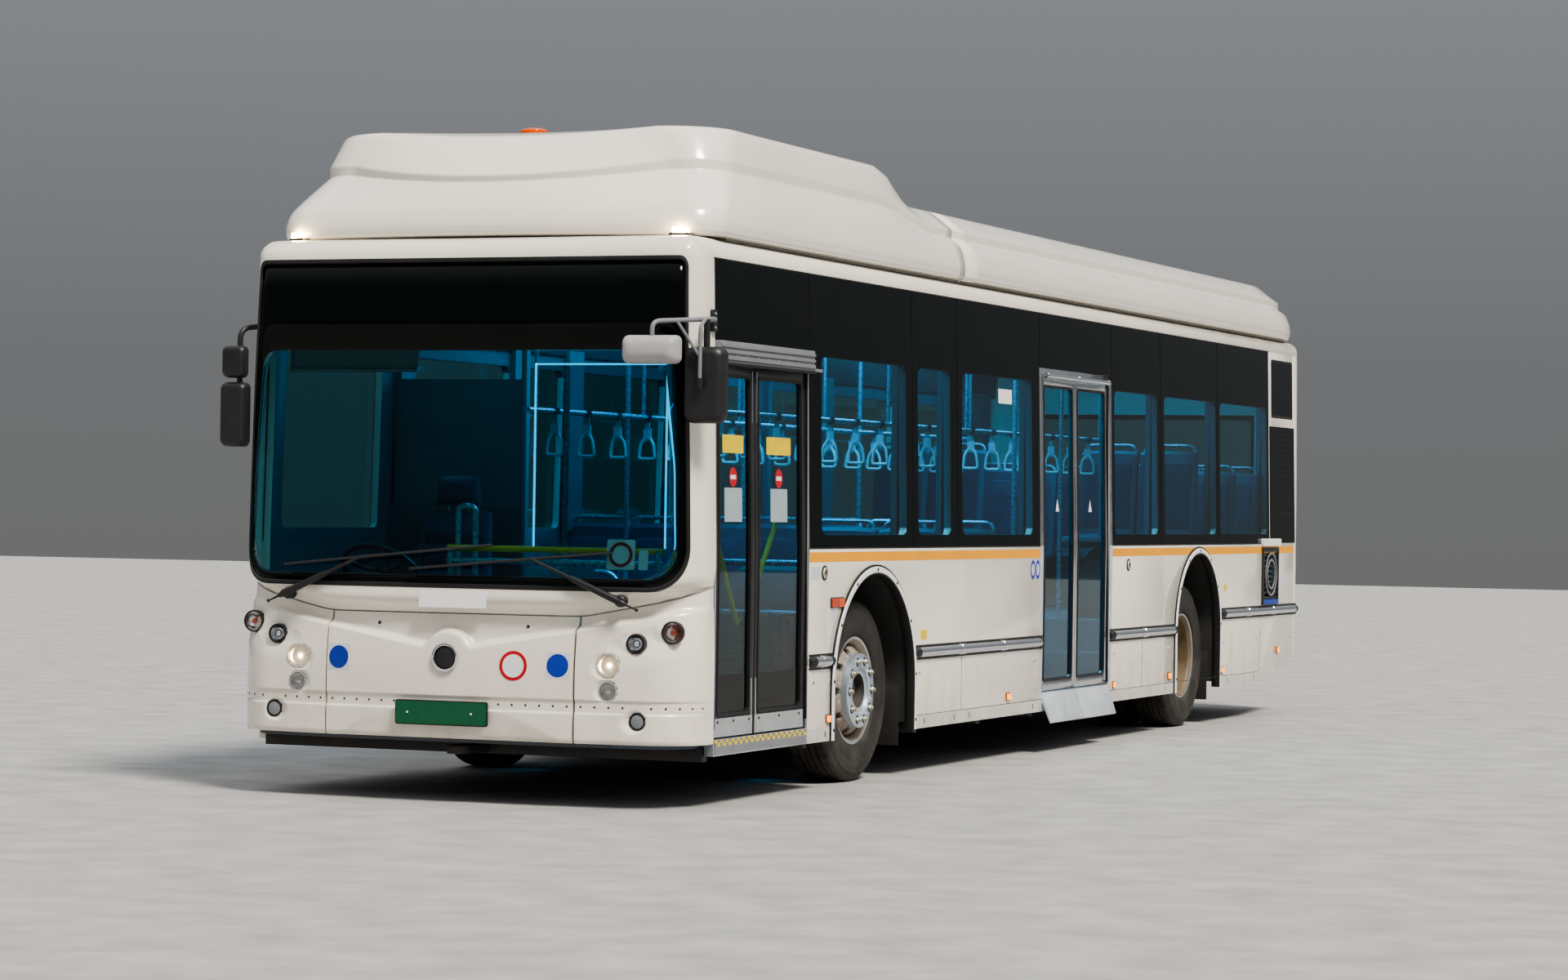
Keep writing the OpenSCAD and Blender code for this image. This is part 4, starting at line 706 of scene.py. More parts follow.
def mask():
    """The lower front: a lifting hatch between two corner panels, with blank marks, boss, plate and rivets."""
    mask_panel("mask_left_panel", "coach_body", 0.706, SIDE_END, 0.0075, "mask_corners")
    mask_panel("mask_right_panel", "coach_body", -SIDE_END, -0.706, 0.0075, "mask_corners")
    mask_panel("front_hatch_panel", "front_hatch", -0.694, 0.694, 0.01, "front_hatch")
    p = Piece("front_hatch_marks", "front_hatch")
    for x, z in ((-0.624, 0.722), (0.612, 0.712)):
        decal(p, mask_point, arc_of(x), z, [(square(0.132, 0.132), None, "label", 0.0008),
                                            (circle(0.058), None, "blue", 0.0016)])
    decal(p, mask_point, arc_of(0.374), 0.705, [(circle(0.075), circle(0.058), "red", 0.0014),
                                                (circle(0.058), None, "white", 0.001)])
    boss = (0, -0.325, HUMP[0])
    p.add(lathe([(0.066, -0.004), (0.07, 0.006), (0.066, 0.012), (0.058, 0.012), (0.056, 0.006), (0.045, 0.01),
                 (0.025, 0.015), (0, 0.017)], 48, boss, AHEAD), "plastic")
    p.add(lathe([(0.0655, 0.006), (0.0725, 0.008), (0.0715, 0.014), (0.064, 0.015), (0.06, 0.012)], 48, boss,
                AHEAD, closed=True), "chrome")
    for x in (i * RIVET_PITCH for i in range(-9, 10)):
        if abs(x + 0.01) > 0.27:
            p.add(lathe(RIVET, 12, mask_point(arc_of(x), RIVET_Z), AHEAD), "iron")

    def on_plate(u, v, h):
        return -0.01 + u, -0.345 + h, 0.457 + v
    p.plate("plastic", on_plate, 0.52, 0.125, 0.012, 0.01, 0.0)
    p.plate("green", on_plate, 0.508, 0.113, 0.01, 0.0, -0.003)
    for x in (-0.19, 0.17):
        p.add(lathe([(0.0, 0.003), (0.005, 0.002), (0.006, 0.0)], 12, on_plate(x, 0.0, -0.003), AHEAD), "white")
    for x in (-0.42, 0.42):
        p.add(lathe([(0, 0.006), (0.006, 0.006), (0.009, 0.0)], 16, mask_point(arc_of(x), 0.9), AHEAD), "seal")
    p.done("body_paint", ["front_hatch"], smooth=40)
    p = Piece("corner_rivets")
    for side in (1, -1):
        for a in (0.735 + RIVET_PITCH * i for i in range(10)):
            if abs(plan_point(a)[0] - LAMPS[4][0]) > 0.07:
                q, r = (np.array(mask_point(side * a, RIVET_Z, push)) for push in (0.0, 0.01))
                p.add(lathe(RIVET, 12, q, q - r), "iron")
    p.done("body_paint", ["mask_corners"], smooth=60)
    # Blank strip on the panel below the glass
    p = Piece("scuttle_label")
    decal(p, front_point, 0.031, 1.03, [(square(0.38, 0.085, 0.008), None, "white", 0.0012)])
    p.done("body_paint", ["front_frame"], smooth=60)


def lamp_parts(r):
    """Insides of a side's five lamps: material, number of sides and (radius, depth) rows."""
    edge, lens = (r - 0.002, -0.01), (r - 0.001, -0.006)
    return (
        [("bowl", 40, [edge, (r * 0.7, -0.026), (r * 0.3, -0.034), (0, -0.036)]),
         ("ember", 24, [(0, -0.012), (r * 0.24, -0.016), (r * 0.28, -0.034)]),
         ("lens", 40, [lens, (r * 0.7, -0.001), (r * 0.4, 0.002), (0, 0.003)])],
        [("bowl", 40, [edge, (r * 0.8, -0.022), (r * 0.66, -0.03)]),
         ("chrome", 40, [(r * 0.66, -0.03), (r * 0.66, -0.018), (r * 0.58, -0.014), (r * 0.56, -0.02)]),
         ("mirror", 40, [(r * 0.57, -0.02), (r * 0.45, -0.01), (r * 0.25, -0.004), (0, -0.002)]),
         ("lens", 40, [lens, (r * 0.7, -0.002), (r * 0.4, 0.0), (0, 0.001)])],
        [("bowl", 40, [edge, (r * 0.8, -0.03), (r * 0.5, -0.046), (0.012, -0.054), (0, -0.054)]),
         ("lit", 20, [(0, -0.02), (0.009, -0.022), (0.01, -0.052)]),
         ("lens", 40, [lens, (r * 0.7, -0.002), (r * 0.4, 0.001), (0, 0.002)])],
        [("bowl", 40, [edge, (r * 0.75, -0.026), (r * 0.4, -0.036), (0, -0.038)]),
         ("chrome", 20, [(0, -0.014), (0.012, -0.016), (0.013, -0.036)]),
         ("lens", 40, [lens, (r * 0.8, -0.002), (r * 0.4, 0.001), (0, 0.002)])],
        [("case", 40, [(r - 0.002, -0.006), (r * 0.9, 0.0), (r * 0.5, 0.003), (0, 0.004)])])


def front_lamps():
    """Bezels with a rolled rim, and what is inside them."""
    p = Piece("front_lamp_units")
    for side in (1, -1):
        for i, (x, y, z, r) in enumerate(LAMPS):
            c = (side * x, y + LAMP_SINK, z)
            rim = [(r + 0.007, -0.03), (r + 0.007, -0.002), (r + 0.005, 0.003), (r + 0.001, 0.003),
                   (r - 0.001, -0.002), (r - 0.002, -0.012)]
            for mat, n, rows in [("chrome" if i in (2, 3) else "plastic", 40, rim)] + lamp_parts(r)[i]:
                p.add(lathe(rows, n, c, AHEAD), mat)
            # The fourth lamp's glass is fluted
            for u in (k * 0.009 for k in range(-4, 5) if i == 3):
                half = math.sqrt((r * 0.9) ** 2 - u * u)
                p.add(tube([(c[0] + u, c[1] - d, z + h) for h, d in ((-half, 0), (0, 0.001), (half, 0))], 0.0022, 6),
                      "lens")
    p.done("lamp_glass", ["front_lamps"], smooth=40, fix=False)


# Side glass: stations and clear part of each pane
SHARED = [(1.34, 2.925, 1.517, 2.827), (2.925, 3.685, 3.015, 3.571), (3.685, 5.228, 3.771, 5.081),
          (6.742, 7.872, 6.8, 7.8), (7.872, 9.316, 7.961, 9.271), (9.316, 10.757, 9.38, 10.69)]
RIGHT_ONLY = [(0.08, 1.34, 0.19, 1.25), (5.228, 6.742, 5.32, 6.65)]
CLEAR_LOW, CLEAR_HIGH = 1.373, 2.33
GAP, THICK = 0.004, 0.0075
FIRST, LAST = 0.08, 10.757


def side_panes(side, name, slot_nodes):
    """Flush glass: black border, clear middle, and rubber in the joints."""
    frit, clear, rubber = (Piece(name + end) for end in ("_border", "_clear", "_joints"))
    rows = SHARED + (RIGHT_ONLY if side < 0 else [])
    fn = on_side(side)
    for s0, s1, c0, c1 in rows:
        out = rect(s0 + GAP, s1 - GAP, WAIST_Z + 0.001, BAND_Z - 0.001, 0.006, arc=4)
        hole = rect(c0, c1, CLEAR_LOW, CLEAR_HIGH, 0.055, arc=4)
        frit.add(ring_prism(out, hole, fn, -THICK, 0.0), "frit")
        clear.add(prism(hole, fn, -THICK, 0.0), "glass")
    # The panes over the doors
    for s0, s1, z0 in ((0.08, 1.34, 2.351), (5.228, 6.742, 2.421)) if side > 0 else ():
        frit.slab("frit", fn, s0 + GAP, s1 - GAP, z0, BAND_Z - 0.001, -THICK, 0.0, 0.006, 4)
    for s in sorted({s for row in rows for s in row[:2]}):
        rubber.slab("seal", fn, s - GAP, s + GAP, WAIST_Z + 0.002, BAND_Z - 0.002, -THICK, -0.002, 0.001, 1)
    for s0, s1 in [(1.34, 5.228), (6.742, LAST)] if side > 0 else [(FIRST, LAST)]:
        rubber.slab("seal", fn, s0, s1, WAIST_Z - 0.004, WAIST_Z + 0.003, -0.004, 0.0015, 0.001, 1)
    rubber.slab("seal", fn, FIRST, LAST, BAND_Z - 0.003, BAND_Z + 0.004, -0.004, 0.0015, 0.001, 1)
    frit.done("glass", slot_nodes, bevel=0.0015, segments=1, smooth=30)
    clear.done("glass", slot_nodes, smooth=30)
    rubber.done("rubber", slot_nodes, smooth=30)


def corner_glass():
    """Black glass at the rear corner: a small pane in a painted frame over a tall louvred one."""
    p = Piece("corner_panels")
    for side in (1, -1):
        fn = on_side(side)
        p.slab("seal", fn, 10.83, 11.462, 2.262, 2.708, 0.0, 0.0015, 0.02)
        p.slab("frit", fn, 10.85, 11.445, 2.28, 2.69, 0.001, 0.003, 0.02)
        p.slab("frit", fn, 10.764, 11.5, 1.307, 2.196, 0.0, 0.003, 0.012)
        for z in (1.52 + i * 0.04 for i in range(16)):
            p.slab("frit", lambda s, v, h: fn(s, v, h + (v - z) * 0.06), 10.88, 11.44, z, z + 0.02, 0.002, 0.0036)
        for s in (10.83, 11.455):
            p.slab("seal", fn, s - 0.004, s + 0.004, 1.33, 2.175, 0.002, 0.0045, 0.001, 1)
    p.done("body_paint", [], bevel=0.001, segments=1)


# Wheels
def tyre(name, node, body, y, spots):
    """Tyres at (x, outer side) spots: moulded sidewalls, a tread of ribs with blocks and grooves."""
    p = Piece(name, body)
    R, B, H = 0.506, 0.286, 0.14
    # Rows of (out from the bead, in from the side), then (in from the tread, in from the side)
    half = [(B + r, d - H) for r, d in ((0, 0.036), (0.012, 0.022), (0.02, 0.02), (0.026, 0.012), (0.04, 0.008),
                                        (0.075, 0.001), (0.105, 0), (0.112, 0.0025), (0.12, 0), (0.14, 0.002))]
    half += [(R - r, d - H) for r, d in ((0.058, 0.007), (0.052, 0.004), (0.046, 0.009), (0.022, 0.017),
                                         (0.008, 0.027), (0.002, 0.04), (0.0005, 0.0445))]
    rows = list(half)
    for a, b in ((-0.094, -0.06), (-0.05, -0.02), (-0.01, 0.01), (0.02, 0.05), (0.06, 0.094)):
        rows += [(R - 0.014, a - 0.001), (R - 0.001, a + 0.001), (R, b - 0.001), (R - 0.014, b + 0.001)]
    rows += [(r, -h) for r, h in reversed(half)] + [(B, H - 0.036)]
    for x, side in spots:
        rings = []
        for i, a in enumerate(turns(200)):
            ring = []
            for r, h in rows:
                if i % 4 == 0 and r > R - 0.003 and abs(h) > 0.052:
                    r -= 0.007
                if i % 2 == 0 and R - 0.03 < r < R - 0.004 and abs(h) > 0.1:
                    r -= 0.0015
                ring.append((x + side * h, y + r * math.cos(a), AXLE_Z + r * math.sin(a)))
            rings.append(ring)
        p.add(hoop(rings), "tyre")
    p.done("tyre", [node], smooth=38)


BOLT_R = 0.1675
BEAD_RING = [(0.2995, 0.112), (0.3015, 0.1165), (0.2985, 0.1185), (0.29, 0.1165), (0.289, 0.112)]


def bolt_circle(c, r, n, first=0.0):
    """Points round the middle of a wheel."""
    return [(c[0], c[1] + r * math.cos(a + first), c[2] + r * math.sin(a + first)) for a in turns(n)]


def front_wheel_extras(side, body):
    """Bead ring, hub cap, nut ring, nuts with caps and the valve of a steered wheel."""
    p = Piece("wheel_fittings_" + body[-2:], body)
    axis, c = (side, 0, 0), (side * WHEEL_X, FRONT_AXLE, AXLE_Z)
    p.add(lathe(BEAD_RING, 96, c, axis, closed=True), "zinc")
    p.add(lathe([(0, 0.106), (0.05, 0.106), (0.056, 0.102), (0.058, 0.098)], 40, c, axis), "iron")
    p.add(lathe([(0.128, 0.11), (0.129, 0.158), (0.134, 0.1625), (0.2, 0.1625), (0.2055, 0.159), (0.207, 0.152),
                 (0.207, 0.11)], 72, c, axis), "zinc")
    for q in bolt_circle(c, 0.078, 6):
        p.add(lathe([(0, 0.092), (0.008, 0.092), (0.009, 0.084)], 6, q, axis), "iron")
    for q in bolt_circle(c, BOLT_R, 10):
        # Black disc round each nut: painted shade of the recess round the nut in the nut ring
        p.add(lathe([(0.025, 0.1632), (0, 0.1632)], 20, q, axis), "seal")
        p.add(lathe([(0.017, 0.162), (0.017, 0.172), (0.015, 0.174), (0.012, 0.174)], 6, q, axis), "zinc")
        p.add(lathe([(0, 0.188), (0.007, 0.187), (0.012, 0.183), (0.0135, 0.178), (0.0135, 0.172)], 14, q, axis),
              "brass")
    x, y, z = bolt_circle(c, 0.236, 1, 0.31)[0]
    p.add(tube([(x + side * 0.05, y, z), (x + side * 0.105, y - 0.01, z - 0.003)], 0.004, 10), "plastic")
    p.done("wheel_paint", [], smooth=35)


def rear_wheel_extras(side, body):
    """Bead ring, nuts and hub bolts of a pair of rear wheels."""
    p = Piece("wheel_fittings_" + body[-2:], body)
    axis, c = (side, 0, 0), (side * WHEEL_X, REAR_AXLE, AXLE_Z)
    face = (c[0] + side * (0.014 - TWIN_PITCH / 2), c[1], c[2])
    p.add(lathe(BEAD_RING, 96, c, axis, closed=True), "zinc")
    for q in bolt_circle(face, BOLT_R, 10):
        p.add(lathe([(0, 0.046), (0.007, 0.045), (0.0125, 0.04), (0.0145, 0.03), (0.0145, 0.0225),
                     (0.0195, 0.0225), (0.0195, 0.001)], 12, q, axis), "brass")
    for q in bolt_circle(face, 0.1, 12):
        p.add(lathe([(0, 0.098), (0.007, 0.098), (0.0075, 0.088)], 6, q, axis), "zinc")
    p.done("wheel_paint", [], smooth=35)


# Roof pods: how far each inner key point from the lip to the ridge is rounded
ROUNDING = [0.01, 0.022, 0.045, 0.09, 0.01, 0.009, 0.04, 0.08, 0.08]
POD_W = 1.264


def rounded(keys):
    return bent(keys, ROUNDING, 3, 0.48)


def pod_keys(s, w, lip, wall_x, wall_z, top_x, top_z, crown):
    """Half of a pod's cross-section: lip, wall, groove under the crease, slope and crown."""
    half = [(w - 0.034, 2.88), (w - 0.008, 2.897), (w, lip - 0.045), (w - 0.012, lip + 0.035),
            ((w + wall_x) / 2 + 0.012, (lip + wall_z) / 2), (wall_x + 0.001, wall_z - 0.052), (wall_x + 0.004, wall_z),
            (top_x, top_z)]
    half += [(x, top_z + (crown - top_z) * (1 - (x / top_x) ** 2)) for x in (0.8, 0.4, 0.0)]
    return [(x, s, z) for x, z in half]


def table_rows(table, step=0.12):
    """Fills in cross-sections between the table's stations."""
    rows = []
    for a, b in zip(table, table[1:]):
        k = max(1, int(math.ceil((b[0] - a[0]) / step)))
        rows += [tuple(u + (v - u) * i / k for u, v in zip(a, b)) for i in range(k)]
    return rows + [table[-1]]


def pod_ring(row, swell=0.0):
    """A whole cross-section, swollen for the parts that lie on it."""
    half = rounded(pod_keys(*row))
    full = half + [(-x, y, z) for x, y, z in reversed(half[:-1])]
    return [(x * (1 + swell / POD_W), y, z + swell) for x, y, z in full]


# Stations of the pods: s, half width, lip, crease x and z, top x and z, crown
LOW_SHAPE = (POD_W, 2.985, 1.17, 3.18, 1.03, 3.292, 3.325)
HIGH_SHAPE = (POD_W, 2.985, 1.152, 3.285, 1.12, 3.462, 3.49)
FRONT_TABLE = [(1.0, *HIGH_SHAPE), (2.7, *HIGH_SHAPE), (2.9, POD_W, 2.985, 1.155, 3.27, 1.11, 3.43, 3.462),
               (3.2, POD_W, 2.985, 1.165, 3.215, 1.06, 3.34, 3.375), (3.43, *LOW_SHAPE), (3.838, *LOW_SHAPE)]
REAR_TABLE = [(3.846, *LOW_SHAPE), (11.2, *LOW_SHAPE), (11.4, 1.258, 2.985, 1.16, 3.165, 1.01, 3.255, 3.29),
              (11.52, 1.235, 2.98, 1.13, 3.12, 0.98, 3.18, 3.205),
              (11.578, 1.2, 2.975, 1.1, 3.05, 0.96, 3.08, 3.095),
              (11.585, 1.19, 2.95, 1.08, 3.01, 0.95, 3.02, 3.03)]
# Nose: half width, corner radius, y in the middle and at the corner, z in the middle and at the corner
NOSE_KEYS = [(1.23, 0.2, -0.01, 0.085, 2.882, 2.88), (1.256, 0.21, -0.036, 0.066, 2.896, 2.897),
             (1.264, 0.21, -0.041, 0.063, 2.932, 2.94), (1.252, 0.21, -0.021, 0.089, 3.002, 3.02),
             (1.218, 0.24, 0.022, 0.178, 3.08, 3.112), (1.153, 0.24, 0.093, 0.32, 3.166, 3.233),
             (1.156, 0.24, 0.085, 0.318, 3.2, 3.285), (1.12, 0.3, 0.35, 0.385, 3.425, 3.462),
             (0.8, 0.3, 0.6, 0.64, 3.464, 3.476), (0.4, 0.2, 0.76, 0.79, 3.482, 3.486),
             (0.0, 0.0, 0.85, 0.85, 3.488, 3.49)]


def nose_columns():
    """Columns of key points from the middle of the nose round its corner."""
    n, m = 18, 10
    cols = [[((w - r) * t, y0 + (y1 - y0) * t * t, z0 + (z1 - z0) * t * t) for w, r, y0, y1, z0, z1 in NOSE_KEYS]
            for t in (i / n for i in range(n + 1))]
    for a in (math.pi / 2 * i / m for i in range(1, m + 1)):
        cols.append([(w - r + r * math.sin(a), y1 + r * (1 - math.cos(a)), z1) for w, r, y0, y1, z0, z1 in NOSE_KEYS])
    return cols


def pods():
    """High front pod with a leaning nose, and the low, long rear pod."""
    p = Piece("pod_front_skin")
    rows = table_rows(FRONT_TABLE)
    right = [rounded(c) for c in nose_columns() + [pod_keys(*row) for row in rows]]
    left = [[(-x, y, z) for x, y, z in c] for c in reversed(right[1:])]
    p.add(sheet(left + right), "pod")
    end = pod_ring(rows[-1])
    p.add(sheet([end, [(x * 0.985, y, z - 0.02) for x, y, z in end]]), "pod")
    p.done("pod_paint", ["pod_front"], smooth=60, solid=0.004, fix=False)
    p = Piece("pod_rear_skin")
    rings = [pod_ring(r) for r in table_rows(REAR_TABLE, 0.25)]
    p.add(sheet(rings), "pod")
    p.add((rings[-1], [tuple(range(len(rings[-1])))]), "pod")
    p.done("pod_paint", ["pod_rear"], smooth=60, solid=0.004, fix=False)
    # Seams, clips and the plinth under the lips, whose black front bar is painted shade in the gap under the front lip
    p = Piece("pod_fittings")
    for s in (1.29, 5.2, 6.687, 8.05, 9.535):
        shape = HIGH_SHAPE if s < 2.7 else LOW_SHAPE
        p.add(sheet([pod_ring((s + d, *shape), swell) for d, swell in
                     ((-0.002, 0.0005), (0.0, 0.0012), (0.002, 0.0005))]), "joint")
    p.add(sheet([pod_ring((s, *LOW_SHAPE), -0.001) for s in (3.835, 3.85)]), "pod")
    for side in (1, -1):
        p.add(block(side * 1.13, side * 1.215, 0.35, 11.45, ROOF_Z - 0.002, 2.96), "joint")
        for s in np.arange(0.55, 11.4, 0.68):
            p.add(disc((side * 1.263, s, 2.948), (side, 0, 0), 0.006, 0.002, 16, 0.001), "joint")
    # Black front bar of the plinth: painted shade in the gap under the front pod's lip
    p.add(block(-1.12, 1.12, 0.33, 0.36, ROOF_Z - 0.002, 2.96), "plastic")
    p.done("pod_paint", ["pod_front", "pod_rear"], smooth=30)


def roof_lights():
    """Beacon and the lit markers over the windscreen."""
    p = Piece("roof_lights")
    c = np.array((-0.44, 1.5, 3.478))
    p.add(lathe([(0.083, 0), (0.086, 0.01), (0.083, 0.026), (0.07, 0.028), (0, 0.028)], 48, c), "plastic")
    dome = [(0.075 * math.cos(a) ** 0.5, 0.095 + 0.018 * math.sin(a)) for a in np.linspace(0, math.pi / 2, 8)]
    p.add(lathe([(0.075, 0.026)] + dome, 48, c), "amber")
    for u, v in circle(0.075, 16):
        p.add(tube([c + (u, v, 0.03), c + (u, v, 0.095)], 0.003, 6), "amber")
    for side in (1, -1):
        for mat, y, depth, pts in (
                ("plastic", -0.01, 0.12, ((1.04, 2.872), (1.15, 2.872), (1.135, 2.889), (1.055, 2.889))),
                ("lit", -0.012, 0.05, ((1.06, 2.886), (1.13, 2.886), (1.124, 2.915), (1.066, 2.915)))):
            p.add(prism([(side * u, v) for u, v in pts], lambda u, v, h: (u, y + h + (abs(u) - 1.0) * 0.35, v),
                        0.0, depth), mat)
    p.done("amber", ["amber_lamps"], bevel=0.002)


# Trim on the sides
def rub_rails():
    """Half-round rails between rubber strips, with end caps and clips."""
    p = Piece("rub_rail_sections")
    for side in (1, -1):
        def arc(r, y, z):
            return [(side * (HALF_W + r * math.cos(a)), y, z + r * math.sin(a))
                    for a in np.linspace(-math.pi / 2, math.pi / 2, 10)]
        for s0, s1, z in ((1.35, 1.7, 0.695), (2.962, 5.285, 0.7), (6.7, 8.245, 0.705), (9.41, 11.56, 0.794)):
            p.add(sheet([arc(0.03, s0 + 0.058, z), arc(0.03, s1 - 0.058, z)]), "aluminium")
            for low in (z - 0.042, z + 0.03):
                p.add(block(side * 1.2995, side * 1.303, s0, s1, low, low + 0.012), "seal")
            for a, b, r0, r1 in ((s0, s0 + 0.06, 0.02, 0.033), (s1 - 0.06, s1, 0.033, 0.02)):
                p.add(loft([arc(r0, a, z), arc((r0 + r1) / 2 + 0.004, (a + b) / 2, z), arc(r1, b, z)]), "plastic")
            count = max(1, round((s1 - s0) / 0.78) - 1)
            for i in range(1, count + 1):
                s = s0 + 0.05 + (s1 - s0 - 0.05) * i / (count + 1)
                p.add(loft([arc(r, s + d, z) for r, d in
                            ((0.03, -0.034), (0.0335, -0.031), (0.0335, 0.031), (0.03, 0.034))]), "chrome")
    p.done("aluminium", ["side_trim"], smooth=40)


def arch_outline(s, w, top, grow):
    """Edge of a wheel arch, grown outwards, as (station, height) rows."""
    low, n = 0.264, 36
    pts = [(s - w - grow, low)]
    for i in range(n + 1):
        a = math.pi - math.pi * i / n
        pts.append((s + (w + grow) * math.cos(a), top - w + (w + grow) * math.sin(a)))
    return pts + [(s + w + grow, low)]


def arch_trims():
    """White flares round the wheel arches, with a rubber edge, a rubber lip and screws."""
    p = Piece("arch_trim_rings")
    # Rows of (out from the arch, out from the wall)
    flare = [(0.0, 0.0), (0.0, 0.012), (0.003, 0.014), (0.03, 0.014), (0.034, 0.009)]
    edge = [(0.034, 0.009), (0.041, 0.009), (0.045, 0.007), (0.045, 0.0)]
    lip = [(0.0, 0.0135), (-0.007, 0.011), (-0.01, 0.0), (-0.01, -0.03)]
    for side in (1, -1):
        for s, w, top, foot in ((FRONT_AXLE, 0.623, 1.164, 0.32), (REAR_AXLE, 0.552, 1.241, 0.36)):
            for rows, mat in ((flare, "white"), (edge, "seal"), (lip, "seal")):
                p.add(sheet([[(side * (HALF_W + h), y, z) for y, z in arch_outline(s, w, top, g)] for g, h in rows]),
                      mat)
            r = w + 0.017
            spots = [(s + r * math.cos(a), top - w + r * math.sin(a))
                     for a in (math.pi * (0.02 + 0.16 * i) for i in range(7))]
            for y, z in spots + [(s - r, foot), (s + r, foot)]:
                p.add(disc((side * (HALF_W + 0.0135), y, z), (side, 0, 0), 0.0095, 0.003, 14, 0.001), "seal")
    p.done("aluminium", ["side_trim"], smooth=30, fix=False)


def side_marks():
    """Stripe under the glass and the band along the sill, both left out at the doors."""
    p = Piece("side_marks")
    for side in (1, -1):
        stripes, bands = [(0.082, 11.46)], [(1.342, 1.662), (2.998, 8.212)]
        if side > 0:
            stripes, bands = [(1.342, 5.226), (6.744, 11.46)], [(1.342, 1.662), (2.998, 5.226), (6.744, 8.212)]
        for spans, z0, z1, mat in ((stripes, 1.228, 1.281, "stripe"), (bands, 0.264, 0.339, "band")):
            for a, b in spans:
                p.add(block(side * (HALF_W - 0.001), side * (HALF_W + 0.0006), a, b, z0, z1), mat)
        tail = [(9.408, 0.264), (10.496, 0.264), (10.941, 0.339), (9.408, 0.339)]
        p.add(prism(tail, on_wall(side), -0.001, 0.0006), "band")
    p.done("body_paint", [], smooth=20)


def lamp_box(p, side, s, z, w, h, lit):
    """A flat lamp on the side: base, lens and its ribs."""
    fn = on_wall(side, s, z)
    p.plate("plastic", fn, 2 * w + 0.01, 2 * h + 0.01, 0.008, 0.0, 0.005)
    p.plate(lit, fn, 2 * w, 2 * h, 0.006, 0.004, 0.013)
    for u in (w * 0.8 * i / 3 for i in range(-3, 4)):
        p.slab(lit, fn, u - 0.0015, u + 0.0015, -h * 0.8, h * 0.8, 0.0125, 0.0138)


def markers():
    """Lamps along the sides, and the round lamps at the rear."""
    p = Piece("side_marker_lamps")
    for side in (1, -1):
        for s, z, w, h in ((1.632, 0.384, 0.022, 0.018), (4.636, 0.383, 0.034, 0.02), (6.8, 0.375, 0.022, 0.018),
                           (8.1, 0.39, 0.03, 0.02), (9.46, 0.385, 0.03, 0.02), (11.02, 0.485, 0.026, 0.022)):
            lamp_box(p, side, s, z, w, h, "amber_lit")
        lamp_box(p, side, 1.7, 1.007, 0.045, 0.024, "ember")
        lamp_box(p, side, 1.795, 1.007, 0.043, 0.024, "amber")
    p.done("amber", ["amber_lamps"], bevel=0.0012)
    p = Piece("rear_lamp_units")
    for side in (1, -1):
        for z, mat in ((0.76, "lens"), (0.9, "ruby"), (1.04, "ruby"), (1.18, "amber")):
            for rows, m in (([(0, 0.002), (0.058, 0.002), (0.058, 0.012), (0.054, 0.016), (0.05, 0.014)], "plastic"),
                            ([(0.052, 0.01), (0.05, 0.018), (0.03, 0.022), (0, 0.0225)], mat),
                            *(([(r, 0.016), (r + 0.002, 0.0225), (r + 0.004, 0.016)], mat)
                              for r in (0.018, 0.03, 0.041))):
                p.add(lathe(rows, 40, (side * 1.04, REAR_Y, z), (0, 1, 0)), m)
    p.done("red_lens", ["rear_lamps"], smooth=40)


def side_details():
    """Turn buttons, blank labels, the vent's cap and rings, slots, joints and screws of the panels."""
    p = Piece("side_details")
    for s in (1.555, 7.1):
        for r, h, n, edge, mat in ((0.04, 0.006, 36, 0.002, "plastic"), (0.029, 0.009, 32, 0.002, "white"),
                                   (0.024, 0.012, 28, 0.003, "brass"), (0.009, 0.014, 16, 0.002, "plastic")):
            p.add(disc((HALF_W, s, 1.17), (1, 0, 0), r, h, n, edge), mat)
    for s, z, w, h, mat in ((1.69, 0.945, 0.07, 0.045, "label"), (3.12, 0.8, 0.1, 0.055, "yellow"),
                            (9.52, 0.985, 0.08, 0.045, "yellow"), (1.43, 1.17, 0.13, 0.07, "label"),
                            (11.16, 1.02, 0.2, 0.09, "label")):
        p.plate(mat, on_wall(1, s, z), w, h, 0.004, 0.0, 0.0009)
    for s in (5.085, 5.18):
        for r, mat, h in ((0.043, "blue", 0.0009), (0.043 * 0.62, "label", 0.0012)):
            p.add(prism(circle(r, 24, 0.06 / 0.043), on_wall(1, s, 1.155), 0.0, h), mat)
    p.plate("white", on_side(1, 4.56, 2.215), 0.25, 0.088, 0.006, 0.0, 0.001)
    for side in (1, -1):
        p.plate("white", on_wall(side, VENT_Y, 1.312), 0.5, 0.056, 0.01, 0.0, 0.024)
        p.plate("blue", on_wall(side, VENT_Y, 0.862), 0.43, 0.036, 0.003, 0.013, 0.0165)
        for r in (0.165, 0.115):
            p.add(ring_prism(circle(r, 40), circle(r - 0.014, 40), on_wall(side, VENT_Y, 1.07), 0.012, 0.018), "case")
    for side in (1, -1):
        for s in (1.6, 3.15, 3.66, 3.93, 5.12, 8.02, 9.62, 10.35):
            p.slab("seal", lambda u, v, k: (side * (HALF_W + k), s + u - v * 0.25, 0.303 + v),
                   -0.006, 0.006, -0.017, 0.017, 0.0, 0.0014, 0.0055, 4)
        joints = [(s - 0.002, s + 0.002, 0.341, 0.66) for s in (3.78, 7.45, 9.72, 10.5)]
        for joint in joints + [(2.99, 10.45, 0.3385, 0.3415)]:
            p.add(block(side * (HALF_W - 0.001), side * (HALF_W + 0.0008), *joint), "seal")
        for s in (1.42, 1.66, 3.06, 5.14, 6.8, 8.15, 9.5, 10.4, 11.4):
            c, axis = (side * HALF_W, s, 0.585), (side, 0, 0)
            p.add(disc(c, axis, 0.011, 0.002, 20, 0.001), "zinc")
            p.add(disc(c, axis, 0.005, 0.003, 6), "seal")
    p.done("body_paint", [], smooth=30)


